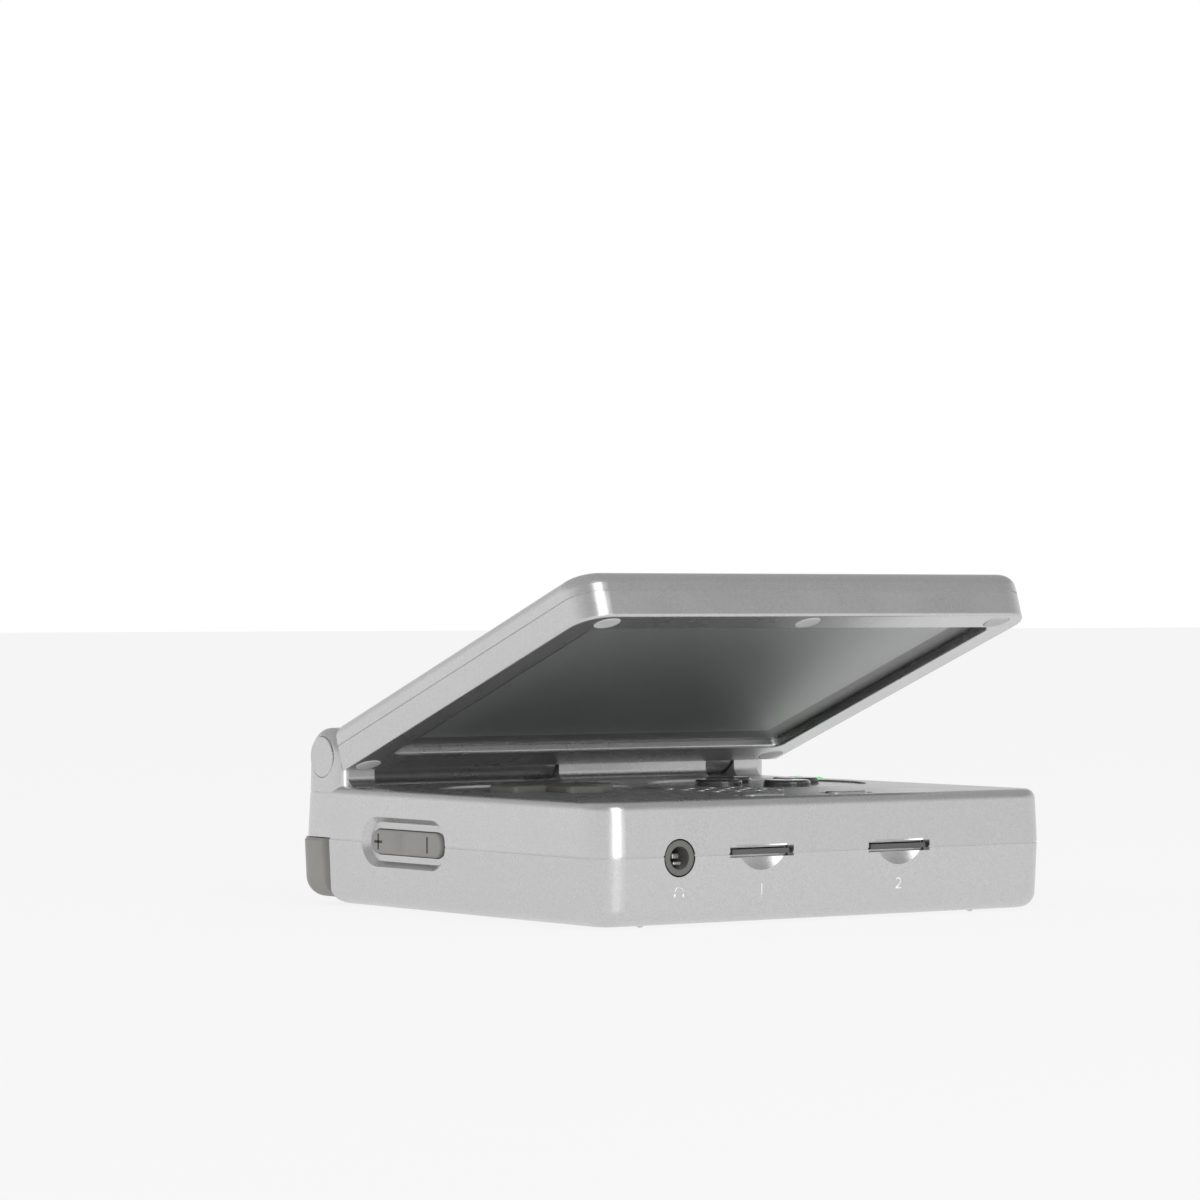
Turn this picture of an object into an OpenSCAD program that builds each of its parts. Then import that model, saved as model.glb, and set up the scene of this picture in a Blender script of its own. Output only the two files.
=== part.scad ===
/* [Base] */
// Width of the console at the parting line
console_w = 89; // [84:0.5:100]
// Depth of the base at the parting line
console_d = 85.7; // [82:0.1:96]
// Height of the lower half of the base
lower_h = 10.7; // [10.2:0.1:14]
// Height of the upper half of the base
upper_h = 8.35; // [8:0.05:11]
// Radius of the upright corners of the base
corner_r = 5; // [4.5:0.1:7]
// Wall thickness of the base halves
wall = 1.6; // [1.3:0.1:2.2]
// Floor thickness of the lower half
floor_t = 1.5; // [1.2:0.1:2.2]
// Roof thickness of the upper half
roof_t = 1.6; // [1.4:0.1:2.2]
// Draft of the lower half's sides in degrees
lower_draft = 2.6; // [1:0.1:4]
// Draft of the upper half's sides in degrees
upper_draft = 2.8; // [1:0.1:4]
// Radius of the bottom edge
bottom_edge_r = 2.6; // [1.5:0.1:3]
// Radius of the top edge
top_edge_r = 1.6; // [0.8:0.1:2.5]
// Height of the parting groove
groove_h = 0.3; // [0.2:0.05:0.6]
// Depth of the parting groove
groove_d = 0.2; // [0.1:0.05:0.4]
// Height of the moulded pips under the base
pip_h = 0.5; // [0.3:0.1:1.5]
// Radius of the moulded pips
pip_r = 0.7; // [0.5:0.1:1.5]

/* [Hinge] */
// Distance of the hinge axis in front of the base's rear face
hinge_back = 7.05; // [6.9:0.05:9]
// Height of the hinge axis over the top of the base
hinge_up = 4.69; // [4.4:0.01:6]
// Radius of the hinge barrels
barrel_r = 4.75; // [4.4:0.05:5]
// Inner face of the two outer hinge ears, from the middle
ear_in = 36.9; // [35:0.1:38]
// Left end of the middle hinge block
block_x0 = 0; // [-4:0.1:4]
// Right end of the middle hinge block
block_x1 = 30.8; // [28:0.1:32]
// Side play between the barrels and what holds them
barrel_play = 0.25; // [0.15:0.05:0.5]
// Radius of the hinge pins
hinge_pin_r = 1.8; // [1.5:0.05:2]
// Running clearance of the hinge pins
pin_fit = 0.05; // [0.02:0.01:0.1]
// Radius of the round caps that close the hinge bores
cap_r = 3.35; // [2.8:0.05:3.8]
// Angle to which the lid stands open
open_deg = 20.25; // [0:0.25:120]

/* [Lid] */
// Distance from the hinge axis to the lid's front face
lid_len = 78.7; // [76:0.05:90]
// Distance from the hinge axis to the lid's rear face
lid_rear = 5.9; // [5.4:0.1:6.2]
// Thickness of the inner half of the lid
bezel_t = 4.28; // [4:0.01:5.5]
// Thickness of the outer half of the lid
cover_t = 3.39; // [3:0.01:5]
// Gap between the closed lid and the base
lid_gap = 0.37; // [0.3:0.01:0.8]
// Radius of the lid's front corners
lid_corner_r = 5.2; // [4:0.1:7]
// Radius of the lid's outer edge
lid_edge_r = 2.2; // [1.2:0.1:2.8]
// Wall of the outer half of the lid
cover_wall = 1.4; // [1.1:0.1:1.8]
// Width of the frame at each side of the screen window
window_side = 5; // [4.5:0.1:8]
// Width of the frame in front of the screen window
window_front = 6; // [6:0.1:9]
// Width of the frame behind the screen window
window_rear = 7.3; // [7:0.1:10]
// Radius of the rounded lip of the screen window
window_lip_r = 0.6; // [0.3:0.05:0.65]
// Depth of the screen under the lid's inner face
window_depth = 1.3; // [1:0.05:1.8]
// Thickness of the screen glass
glass_t = 0.8; // [0.5:0.05:1]
// Thickness of the display panel
panel_t = 2.6; // [2:0.1:3]
// Radius of the lid's round bumper pads
pad_r = 2.1; // [1.8:0.05:2.3]
// How far the bumper pads stand out of the lid
pad_proud = 0.1; // [0.05:0.05:0.25]

/* [Controls] */
// Distance of each control cluster from the middle
cluster_x = 20.8; // [19:0.1:22]
// Distance of the control clusters behind the middle
cluster_y = 3.5; // [0:0.1:6]
// Radius of the round recess round each cluster
recess_r = 18.1; // [16:0.1:18.5]
// Depth of the round recesses
recess_d = 0.3; // [0.2:0.05:0.5]
// Span of the direction pad
dpad_span = 20; // [16:0.1:22]
// Width of the direction pad's arms
dpad_arm = 7.2; // [6:0.1:8]
// How far the controls stand over the top of the base
control_proud = 0.8; // [0.5:0.05:1.2]
// Radius of the face buttons
button_r = 3.88; // [3.4:0.01:4.2]
// Distance of each face button from the cluster's middle
button_ring = 8.05; // [7.8:0.05:9]
// Distance of each pill button from the middle
pill_x = 8.3; // [7:0.1:10]
// Distance of the pill buttons from the base's front face
pill_front = 7.1; // [6.5:0.1:10]
// Length of a pill button
pill_l = 7.8; // [6:0.1:9]
// Width of a pill button
pill_w = 3; // [2.4:0.1:3.6]
// Number of speaker holes along each side of the grid
speaker_holes = 4; // [2:1:5]
// Pitch of the speaker holes
speaker_pitch = 4.15; // [3:0.05:4.3]
// Radius of a speaker hole
speaker_hole_r = 0.55; // [0.4:0.05:0.9]
// Distance of the speaker in front of the middle
speaker_y = 15; // [14:0.1:17]

/* [Ports] */
// Distance of the headphone socket from the left side
jack_side = 15; // [14:0.1:16.5]
// Height of the headphone socket over the lower half's bottom
jack_z = 10.24; // [9.8:0.01:10.7]
// Bore radius of the headphone socket
jack_r = 1.78; // [1.75:0.01:1.85]
// Outer radius of the headphone socket's collar
jack_collar_r = 2.68; // [2.4:0.01:2.9]
// Length of the headphone socket's bore
jack_depth = 13; // [8:0.5:14]
// Width of a card slot
slot_w = 12.3; // [11.6:0.1:13]
// Height of a card slot
slot_h = 1.65; // [1.4:0.05:2]
// Height of the card slots' middle over the lower half's bottom
slot_z = 10.8; // [10.7:0.05:11]
// Distance of each card slot from the middle
slot_x = 13.57; // [12:0.01:15]
// Radius of the thumb scoop under a card slot
scoop_r = 5; // [4:0.1:6]
// Depth of the thumb scoops
scoop_d = 1.2; // [0.6:0.1:1.4]
// Width of a memory card
card_w = 11; // [10:0.1:11.2]
// Thickness of a memory card
card_t = 0.75; // [0.6:0.05:1]
// Length of a memory card
card_l = 15; // [12:0.5:16]
// Length of the volume key
volume_l = 20.4; // [16:0.1:21]
// Height of the volume key
volume_h = 3.9; // [3:0.1:4.2]
// Distance of the volume key from the rear face
volume_back = 31.8; // [29:0.05:36]
// Height of the volume key over the lower half's bottom
volume_z = 10.6; // [10.4:0.05:11]
// Depth of the recess that holds the volume key
volume_recess = 1.25; // [1:0.05:1.4]
// How far the volume key stands out of its recess floor
volume_proud = 0.7; // [0.4:0.05:0.9]
// Distance of the power button from the rear face
power_back = 34.85; // [32:0.05:38]
// Length of the power button
power_l = 9; // [7:0.1:10]
// Height of the power button
power_h = 3.4; // [2.6:0.1:3.6]
// How far the power button stands out of the side
power_proud = 0.4; // [0.2:0.05:0.6]
// Distance of the reset button in front of the power button
reset_pitch = 14; // [12:0.5:16]
// Radius of the reset button
reset_r = 1.2; // [0.9:0.05:1.5]
// Distance of the two light windows from the rear face
light_back = 25.25; // [23:0.05:29]
// Pitch of the two light windows
light_pitch = 5.35; // [4:0.05:7]

/* [Shoulder buttons] */
// Width of an outer shoulder button
shoulder_outer_w = 14.7; // [13:0.1:16]
// Width of an inner shoulder button
shoulder_inner_w = 13.4; // [12:0.1:14]
// Gap between neighbouring shoulder buttons
shoulder_gap = 0.5; // [0.4:0.1:1]
// How far the shoulder buttons stand behind the base
shoulder_proud = 1.1; // [0.6:0.1:2]
// Radius of the shoulder buttons' lower rear edge
shoulder_edge_r = 3.4; // [2:0.1:4]

/* [Hidden] */
$fn = 64;

// Overlap that lets a cut run clear through a face
cut = 1;
// Gap between pieces of one body that lie against each other
seat_gap = 0.05;
// Gap round a button in its hole
button_gap = 0.15;

silver = "#b9babb";
silver_lid = "#aeafb0";
warm_grey = "#9c9a95";
dark_key = "#2b2c2e";
board_green = "#1f5d3a";
steel = "#8d9093";
black = "#17181a";

// Heights over the surface that the console stands on
base_z = pip_h;
part_z = base_z + lower_h;
top_z = part_z + upper_h;
floor_z = base_z + floor_t;
roof_z = top_z - roof_t;
half_w = console_w / 2;
half_d = console_d / 2;

// Hinge axis
hinge_y = half_d - hinge_back;
hinge_z = top_z + hinge_up;
lug_front = hinge_y - barrel_r;
lug_side = half_w - upper_h * tan(upper_draft);
lug_edge_r = 2.2;
lug_fillet_r = 1.5;
housing_y = lug_front - lug_fillet_r - 0.15;
trough_gap = 0.35;
barrel_left_x0 = -ear_in + barrel_play;
barrel_left_x1 = block_x0 - barrel_play;
barrel_right_x0 = block_x1 + barrel_play;
barrel_right_x1 = ear_in - barrel_play;
pin_grip = 6;

// Lid, measured from the hinge axis: its own z is 0 on the axis
lid_in = lid_gap - hinge_up;
lid_part = lid_in + bezel_t;
lid_out = lid_part + cover_t;
lid_side = half_w;
lid_rear_r = 2;
lid_draft = 1.5;
web_t = 3.2;
window_w = console_w - 2 * window_side;
window_l = lid_len - lid_rear - window_front - window_rear;
window_r = 1.5;
window_y = -(lid_len - window_front - window_l / 2);
glass_lap = 0.8;
glass_gap = 0.1;
glass_seat = 2 * (glass_lap + glass_gap);
glass_z = lid_in + window_depth;
panel_w = window_w - 2;
panel_l = window_l + 1.2;
lid_cavity_r = 3;
lid_screw_head_r = 1.45;
pad_front_x = lid_side - 5.9;
pad_rear_x = lid_side - 3.3;
pad_front = 3.15;
pad_rear = 2.7;
pad_seat = 0.55;
pad_t = pad_seat - seat_gap;
pad_gap = 0.08;
lid_inset = 2.6;
lid_boss_r = 1.9;
lid_screw_sink = 0.6;
lid_screw_head_h = 1.1;
magnet_x = 16;
magnet_l = 8;
magnet_w = 1.7;
magnet_h = 1.6;
ribbon_x = -19;
ribbon_w = 14;
ribbon_r = 3;
ribbon_t = 0.25;

// Inside of the base
cavity_y1 = half_d - 11.55;
back_wall_y = cavity_y1 + wall;
bay_x = half_w - shoulder_outer_w - shoulder_inner_w - 2 * shoulder_gap;
inner_r = 3;
board_t = 1;
board_space = 4.45;
board_z = roof_z - board_space - board_t;
board_edge = 1;
board_top = board_z + board_t;
screw_x = half_w - 7.5;
screw_front_y = -half_d + 9.35;
screw_rear_y = cavity_y1 - 8.8;
boss_r = 2.6;
screw_r = 1;
screw_head_r = 1.9;
screw_head_h = 1.3;
screw_sink = 1.2;

// Controls
control_z = top_z + control_proud;
well_z = top_z - recess_d;
dpad_flange_r = dpad_span / 2 + 1.6;
dpad_flange_t = 1;
dpad_flange_z = roof_z - 2.05;
ball_r = (dpad_flange_z - board_top) - seat_gap;
dpad_gap = 0.35;
button_flange_z = roof_z - 0.55;
button_foot_z = board_top + 1.7;
membrane_t = 0.6;
dome_top = board_top + 1.4;
button_spots = [[0, 1], [1, 0], [0, -1], [-1, 0]];
pill_proud = 0.3;
pill_rim = 1;
pill_recess_d = 0.4;
key_flange = 0.9;
pill_y = -half_d + pill_front;

// Ports
jack_x = half_w - jack_side;
jack_body_w = 6;
jack_body_h = 5.2;
jack_ring_gap = 0.25;
volume_y = half_d - volume_back;
volume_rim_w = volume_h + 4.4;
volume_rim_l = volume_l + 3.9;
volume_floor_w = volume_h + 2.35;
volume_wall = 1.45;
volume_gap = 0.15;
switch_w = 4;
switch_d = 2.6;
switch_tip_r = 0.8;
switch_tip_l = 0.7;
volume_switch_dy = 6;
light_y = half_d - light_back;
light_w = 2;
jack_height = base_z + jack_z;
slot_height = base_z + slot_z;
socket_t = 2.1;
socket_w = slot_w + 2.4;
socket_l = card_l + 0.8;
socket_front = -half_d + 1.9;
slots_x = [-slot_x - 0.2, slot_x - 0.2];
card_face_y = -half_d + 0.35;
usb_w = 8.94;
usb_h = 3.26;
usb_l = 7.4;
video_w = 11.2;
video_h = 3.2;
port_share = 0.48;
port_gap = 0.2;
port_sink = 0.6;
usb_x = -port_share * (bay_x - wall);
video_x = port_share * (bay_x - wall);
socket_skin = 0.35;
rear_socket_z = board_z - usb_h / 2 - seat_gap;
power_y = half_d - power_back;
power_z = volume_z;
power_flange = 0.8;
power_back_x = half_w - wall - 0.9;
power_switch_x = power_back_x - power_flange - 1.3;
reset_y = power_y - reset_pitch;
pip_x = half_w - 11.8;
pip_y = half_d - 5.95;
pip_rear_y = cavity_y1 - 5.8;

// Board parts, key sheets and the battery
battery_w = console_w - 37;
battery_l = console_d - 39.7;
battery_h = 6.6;
battery_x = -4;
battery_y = -2;
shield_w = 24;
shield_l = 20;
shield_h = 1.95;
shield_skin = 0.3;
shield_x = 10;
shield_y = 6;
speaker_w = 17;
speaker_l = 15;
speaker_mesh_t = 0.25;
speaker_h = board_space - 0.25 - speaker_mesh_t;
sheet_r = recess_r - 5.3;
dome_r = 3;
dome_tip_r = 2.2;
dpad_dome_ring = 7;
dpad_dome_h = 1.35;
key_dome_h = 0.85;

// Shoulder buttons: outer first, then inner, measured to each side
shoulder_x = [
    [half_w - shoulder_outer_w, half_w],
    [bay_x + shoulder_gap, bay_x + shoulder_gap + shoulder_inner_w]
];
shoulder_pin_x = [shoulder_x[0][0] + 3.4, shoulder_x[1][0] + 3.4];
shoulder_pin_y = back_wall_y + 4.6;
shoulder_pin_r = 0.8;
shoulder_wall = 1.5;
shoulder_front_y = back_wall_y + 1;
shoulder_low_z = base_z + 0.74;
shoulder_high_z = part_z - 0.2;
shoulder_post_z = base_z + 7;
shoulder_post_dx = 4.8;
shoulder_hub = 1.1;
shoulder_bevel = 1.5;
tab_t = 1.4;
tab_w = 2.6;
shoulder_posts = [for (side = [-1, 1], s = [0, 1]) side * (shoulder_pin_x[s] + shoulder_post_dx)];
shoulder_post_y = back_wall_y + 1.5;
tab_z = base_z + 2.6;

// Friction clutch of the hinge
clutch_l = 12;
clutch_r = 2.9;
clutch_grip = 4.2;
shaft_end_x = barrel_right_x0 + 2.8;

// ---- Shapes that several pieces share ----

// A block with round upright corners of radius r, whose corner profile is the child
module swept(hw, hd, r, z0, z1) {
    cx = hw - r;
    cy = hd - r;
    for (sx = [-1, 1], sy = [-1, 1]) {
        translate([sx * cx, sy * cy, 0]) rotate_extrude() children();
    }
    swept_span(cx, cy, z0, z1) children();
    rotate([0, 0, 90]) swept_span(cy, cx, z0, z1) children();
}

// The straight run of such a block: cx to each side, cy to the front and the back
module swept_span(cx, cy, z0, z1) {
    translate([0, cy, 0]) rotate([90, 0, 0]) linear_extrude(2 * cy) {
        translate([cx, 0]) children();
        mirror([1, 0]) translate([cx, 0]) children();
        translate([-cx, z0]) square([2 * cx, z1 - z0]);
    }
}

// Corner profile that leans outwards as it rises, with a round foot and a groove at its top
module rising_profile(r, z0, z1, draft, edge_r, step_h, step_d) {
    t = tan(draft);
    zc = z0 + edge_r;
    xc = r - (z1 - zc) * t - edge_r / cos(draft);
    zs = z1 - step_h;
    xs = r - step_h * t;
    polygon([
        [0, z0], [xc, z0], [xc + edge_r * cos(draft), zc - edge_r * sin(draft)],
        [xs, zs], [xs - step_d, zs], [xs - step_d, z1], [0, z1]
    ]);
    intersection() {
        translate([xc, zc]) circle(edge_r);
        translate([0, z0 - cut]) square([r, z1 - z0]);
    }
}

// Corner profile that leans inwards as it rises, with a round top
module falling_profile(r, z0, z1, draft, edge_r) {
    t = tan(draft);
    zc = z1 - edge_r;
    xc = r - (zc - z0) * t - edge_r / cos(draft);
    polygon([
        [0, z0], [r, z0], [xc + edge_r * cos(draft), zc + edge_r * sin(draft)],
        [xc, z1], [0, z1]
    ]);
    intersection() {
        translate([xc, zc]) circle(edge_r);
        translate([0, z0]) square([r, z1 - z0 + cut]);
    }
}

// A flat plate with round corners, centred on x and y
module round_plate(w, d, r, h) {
    linear_extrude(h) {
        square([w - 2 * r, d], center = true);
        square([w, d - 2 * r], center = true);
        for (sx = [-1, 1], sy = [-1, 1]) {
            translate([sx * (w / 2 - r), sy * (d / 2 - r)]) circle(r);
        }
    }
}

// A block between two corners
module block(low, high) {
    translate(low) cube(high - low);
}

// A pill outline of length l and width w
module pill_outline(l, w) {
    square([l - w, w], center = true);
    for (s = [-1, 1]) translate([s * (l - w) / 2, 0]) circle(w / 2);
}

// A pill along y that faces the left side, from x outwards to x + h
module side_pill(l, w, h) {
    rotate([0, 90, 0]) linear_extrude(h) rotate(90) pill_outline(l, w);
}

// The outer form of the lower half
module lower_form() {
    swept(half_w, half_d, corner_r, base_z, part_z)
        rising_profile(corner_r, base_z, part_z, lower_draft, bottom_edge_r, groove_h, groove_d);
}

// The outer form of the upper half, without the hinge lugs
module upper_form() {
    swept(half_w, half_d, corner_r, part_z, top_z)
        falling_profile(corner_r, part_z, top_z, upper_draft, top_edge_r);
}

// The space inside both halves, from z0 to z1
module main_cavity(z0, z1) {
    w = console_w - 2 * wall;
    y0 = -half_d + wall;
    translate([0, (y0 + cavity_y1) / 2, z0]) round_plate(w, cavity_y1 - y0, inner_r, z1 - z0);
}

// The bay for the rear sockets
module rear_bay(z0, z1) {
    block([-bay_x + wall, cavity_y1 - cut, z0], [bay_x - wall, half_d - wall, z1]);
}

// Places the child at each case screw
module at_screws() {
    for (sx = [-1, 1], y = [screw_front_y, screw_rear_y]) translate([sx * screw_x, y, 0]) children();
}

// ---- Openings in both halves ----

// The headphone socket's hole
module jack_hole() {
    translate([-jack_x, -half_d - cut, jack_height]) rotate([-90, 0, 0])
        cylinder(h = wall + 2 * cut, r = jack_collar_r + jack_ring_gap);
}

// A card slot with its thumb scoop
module card_hole(x) {
    dish_r = (scoop_r * scoop_r + scoop_d * scoop_d) / (2 * scoop_d);
    slot_low = slot_height - slot_h / 2;
    translate([x - slot_w / 2, -half_d - cut, slot_low]) cube([slot_w, wall + 2 * cut, slot_h]);
    intersection() {
        translate([x, -half_d + scoop_d - dish_r, slot_low - 2.3 + scoop_r]) sphere(dish_r);
        translate([x - scoop_r, -half_d - cut, slot_low - 3])
            cube([2 * scoop_r, 2 * cut + wall, slot_h + 3.28]);
    }
}

// The sloped recess of the volume key and the hole for the key
module volume_cut() {
    z = base_z + volume_z;
    reach = (volume_rim_l - volume_rim_w) / 2;
    over = 0.6;
    lean = (volume_rim_w - volume_floor_w) / 2 / volume_recess;
    rim_r = volume_rim_w / 2 + over * lean;
    floor_r = volume_floor_w / 2;
    translate([-half_w - over, volume_y, z]) {
        for (s = [-1, 1]) translate([0, s * reach, 0]) rotate([0, 90, 0])
            cylinder(h = volume_recess + over, r1 = rim_r, r2 = floor_r);
        rotate([-90, 0, 0]) translate([0, 0, -reach]) linear_extrude(2 * reach) polygon([
            [0, rim_r], [volume_recess + over, floor_r], [volume_recess + over, -floor_r], [0, -rim_r]
        ]);
        side_pill(volume_l + 0.4, volume_h + 2 * volume_gap, volume_recess + volume_wall + 3);
    }
}

// The thick wall behind the volume recess
module volume_pad(z0, z1) {
    reach = volume_rim_l / 2 + 1.85;
    block([-half_w + wall - seat_gap, volume_y - reach, z0],
        [-half_w + volume_recess + volume_wall, volume_y + reach, z1]);
}

// The holes for the power and reset buttons in the right side
module power_holes() {
    z = base_z + power_z;
    translate([half_w - 3, power_y, z]) side_pill(power_l + 2 * button_gap, power_h + 2 * button_gap, 6);
    translate([half_w - 3, reset_y, z]) rotate([0, 90, 0]) cylinder(h = 6, r = reset_r + button_gap);
}

// The holes for the rear sockets
module rear_holes() {
    translate([usb_x, half_d + cut, rear_socket_z]) rotate([90, 0, 0]) linear_extrude(wall + 2 * cut)
        pill_outline(usb_w + 2 * port_gap, usb_h + 2 * port_gap);
    translate([video_x, half_d + cut, rear_socket_z]) rotate([90, 0, 0]) linear_extrude(wall + 2 * cut)
        video_outline(port_gap);
}

// Outline of the video socket, wider at its top
module video_outline(grow) {
    polygon([
        [-video_w / 2 - grow, -video_h / 2 - grow], [video_w / 2 + grow, -video_h / 2 - grow],
        [video_w / 2 + grow, video_h / 2 - 1], [video_w / 2 - 1 + grow, video_h / 2 + grow],
        [-video_w / 2 + 1 - grow, video_h / 2 + grow], [-video_w / 2 - grow, video_h / 2 - 1]
    ]);
}

// ---- Shells of the base ----

module bottom_shell() {
    color(silver) difference() {
        union() {
            difference() {
                lower_form();
                main_cavity(floor_z, part_z + cut);
                rear_bay(floor_z, part_z + cut);
            }
            intersection() {
                lower_form();
                union() {
                    volume_pad(base_z, part_z);
                    at_screws() cylinder(h = part_z, r = boss_r);
                }
            }
            at_screws() translate([0, 0, base_z + 1])
                cylinder(h = board_z - base_z - 1 - seat_gap, r = boss_r);
            for (side = [-1, 1], s = [0, 1]) shoulder_tab(side, s);
            for (sx = [-1, 1], y = [-pip_y, pip_rear_y]) translate([sx * pip_x, y, 0]) pip();
        }
        for (side = [-1, 1]) shoulder_zone(side);
        for (side = [-1, 1], s = [0, 1]) translate([side * shoulder_pin_x[s], shoulder_pin_y, 0])
            cylinder(h = part_z + cut, r = shoulder_pin_r + 0.02);
        at_screws() screw_bore();
        jack_hole();
        for (x = slots_x) card_hole(x);
        volume_cut();
        power_holes();
        rear_holes();
        for (x = shoulder_posts) plunger_hole(x);
    }
}

// A moulded pip that the console stands on
module pip() {
    difference() {
        translate([0, 0, pip_r - 0.03]) sphere(pip_r, $fn = 32);
        translate([-pip_r, -pip_r, -cut]) cube([2 * pip_r, 2 * pip_r, cut]);
    }
}

// The corner cut away for the shoulder buttons, with a round lower edge in front of it
module shoulder_zone(side) {
    x0 = side < 0 ? -half_w - cut : bay_x;
    x1 = side < 0 ? -bay_x : half_w + cut;
    difference() {
        block([x0, back_wall_y, -cut], [x1, half_d + cut, part_z + cut]);
        for (s = [0, 1]) shoulder_tab(side, s);
    }
    difference() {
        block([x0, back_wall_y - bottom_edge_r, -cut], [x1, back_wall_y + cut, base_z + bottom_edge_r]);
        translate([x0 - cut, back_wall_y - bottom_edge_r, base_z + bottom_edge_r]) rotate([0, 90, 0])
            cylinder(h = x1 - x0 + 2 * cut, r = bottom_edge_r);
    }
}

// A tab that carries the lower end of a shoulder button's pin, reaching back from the wall
module shoulder_tab(side, s) {
    x = side * shoulder_pin_x[s];
    block([x - tab_w / 2, back_wall_y - 0.5, tab_z], [x + tab_w / 2, shoulder_pin_y + 1.7, tab_z + tab_t]);
}

// The counterbored hole of a case screw
module screw_bore() {
    translate([0, 0, -cut]) cylinder(h = base_z + screw_sink + screw_head_h + cut, r = screw_head_r + 0.2);
    cylinder(h = board_z + cut, r = screw_r + 0.15);
}

// The hole for a shoulder switch's plunger
module plunger_hole(x) {
    translate([x, cavity_y1 - cut, shoulder_post_z]) rotate([-90, 0, 0])
        cylinder(h = wall + 2 * cut, r = switch_tip_r + 0.4);
}

// The upper half of the base in front of the hinge
module top_shell() {
    color(silver) difference() {
        union() {
            upper_walls();
            intersection() {
                upper_form();
                volume_pad(part_z, part_z + 5);
            }
            at_screws() translate([0, 0, board_top + seat_gap])
                cylinder(h = top_z - board_top - 1, r = boss_r);
        }
        behind_seam();
        control_wells();
        speaker_grid();
        at_screws() translate([0, 0, board_top - cut])
            cylinder(h = roof_z - board_top, r = screw_r + 0.02);
        jack_hole();
        for (x = slots_x) card_hole(x);
        volume_cut();
        power_holes();
        light_cut(0.03);
    }
}

// The rear strip of the upper half, with the two hinge ears and the middle hinge block
module hinge_housing() {
    color(silver) difference() {
        union() {
            intersection() {
                upper_walls();
                behind_seam();
            }
            for (side = [-1, 1]) hinge_ear(side);
            hinge_block();
        }
        barrel_troughs();
        hinge_bores();
        rear_holes();
        for (side = [-1, 1], s = [0, 1]) translate([side * shoulder_pin_x[s], shoulder_pin_y, part_z - cut])
            cylinder(h = cut + 2.1, r = shoulder_pin_r + 0.02);
    }
}

// The walls and roof of the upper half
module upper_walls() {
    difference() {
        upper_form();
        main_cavity(part_z - cut, roof_z);
        rear_bay(part_z - cut, board_top + 0.2);
    }
}

// All the space behind the seam in front of the hinge
module behind_seam() {
    block([-console_w, housing_y, 0], [console_w, console_d, hinge_z]);
}

// The rounded end of a hinge lug, lying along x from 0 to w, with edge_r at its far end
module lug_drum(w, edge_r) {
    rotate([0, 90, 0]) rotate_extrude($fn = 48) {
        square([barrel_r - edge_r, w]);
        square([barrel_r, w - edge_r]);
        translate([barrel_r - edge_r, w - edge_r]) circle(edge_r, $fn = 32);
    }
}

// An outer hinge ear, blended from the base's rear corner into the round drum
module hinge_ear(side) {
    w = lug_side - ear_in;
    rear_y = half_d - upper_h * tan(upper_draft);
    rear_r = corner_r - upper_h * tan(upper_draft);
    foot_z = top_z - 1;
    mirror([side < 0 ? 1 : 0, 0, 0]) {
        hull() {
            translate([ear_in, hinge_y, hinge_z]) lug_drum(w, lug_edge_r);
            translate([lug_side - rear_r, rear_y - rear_r, foot_z])
                cylinder(h = 0.5, r = rear_r, $fn = 48);
            translate([lug_side - lug_edge_r, lug_front + lug_edge_r, foot_z])
                cylinder(h = 0.5, r = lug_edge_r, $fn = 32);
            block([ear_in, lug_front, foot_z], [ear_in + 1, rear_y, foot_z + 0.5]);
        }
        lug_fillet(ear_in, lug_side - lug_edge_r);
    }
}

// The middle hinge block
module hinge_block() {
    rear_y = half_d - upper_h * tan(upper_draft);
    foot_z = top_z - 1;
    hull() {
        translate([block_x0, hinge_y, hinge_z]) rotate([0, 90, 0])
            cylinder(h = block_x1 - block_x0, r = barrel_r, $fn = 48);
        block([block_x0, lug_front, foot_z], [block_x1, rear_y - top_edge_r, foot_z + 0.5]);
    }
    lug_fillet(block_x0, block_x1);
}

// The hollow blend between a lug's front face and the top of the base
module lug_fillet(x0, x1) {
    difference() {
        block([x0, lug_front - lug_fillet_r, top_z - 0.2], [x1, lug_front + 0.2, top_z + lug_fillet_r]);
        translate([x0 - cut, lug_front - lug_fillet_r, top_z + lug_fillet_r]) rotate([0, 90, 0])
            cylinder(h = x1 - x0 + 2 * cut, r = lug_fillet_r);
    }
}

// The troughs that the lid's barrels turn in
module barrel_troughs() {
    for (span = [[-ear_in, block_x0], [block_x1, ear_in]]) {
        translate([span[0], hinge_y, hinge_z]) rotate([0, 90, 0])
            cylinder(h = span[1] - span[0], r = barrel_r + trough_gap);
    }
}

// Bores for the hinge pins and the clutch, and seats for the caps
module hinge_bores() {
    along_axis(-lug_side + 1.2, -ear_in + cut, hinge_pin_r + 0.02);
    along_axis(ear_in - cut, lug_side - 1.2, hinge_pin_r + 0.02);
    along_axis(block_x0 - cut, block_x0 + pin_grip, hinge_pin_r + 0.02);
    along_axis(block_x1 - clutch_l, block_x1 + cut, clutch_r + 0.02);
    for (side = [-1, 1]) mirror([side < 0 ? 1 : 0, 0, 0])
        along_axis(lug_side - 0.8, lug_side + cut, cap_r + seat_gap);
}

// A round bar on the hinge axis from x0 to x1
module along_axis(x0, x1, r) {
    translate([x0, hinge_y, hinge_z]) rotate([0, 90, 0]) cylinder(h = x1 - x0, r = r);
}

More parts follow.
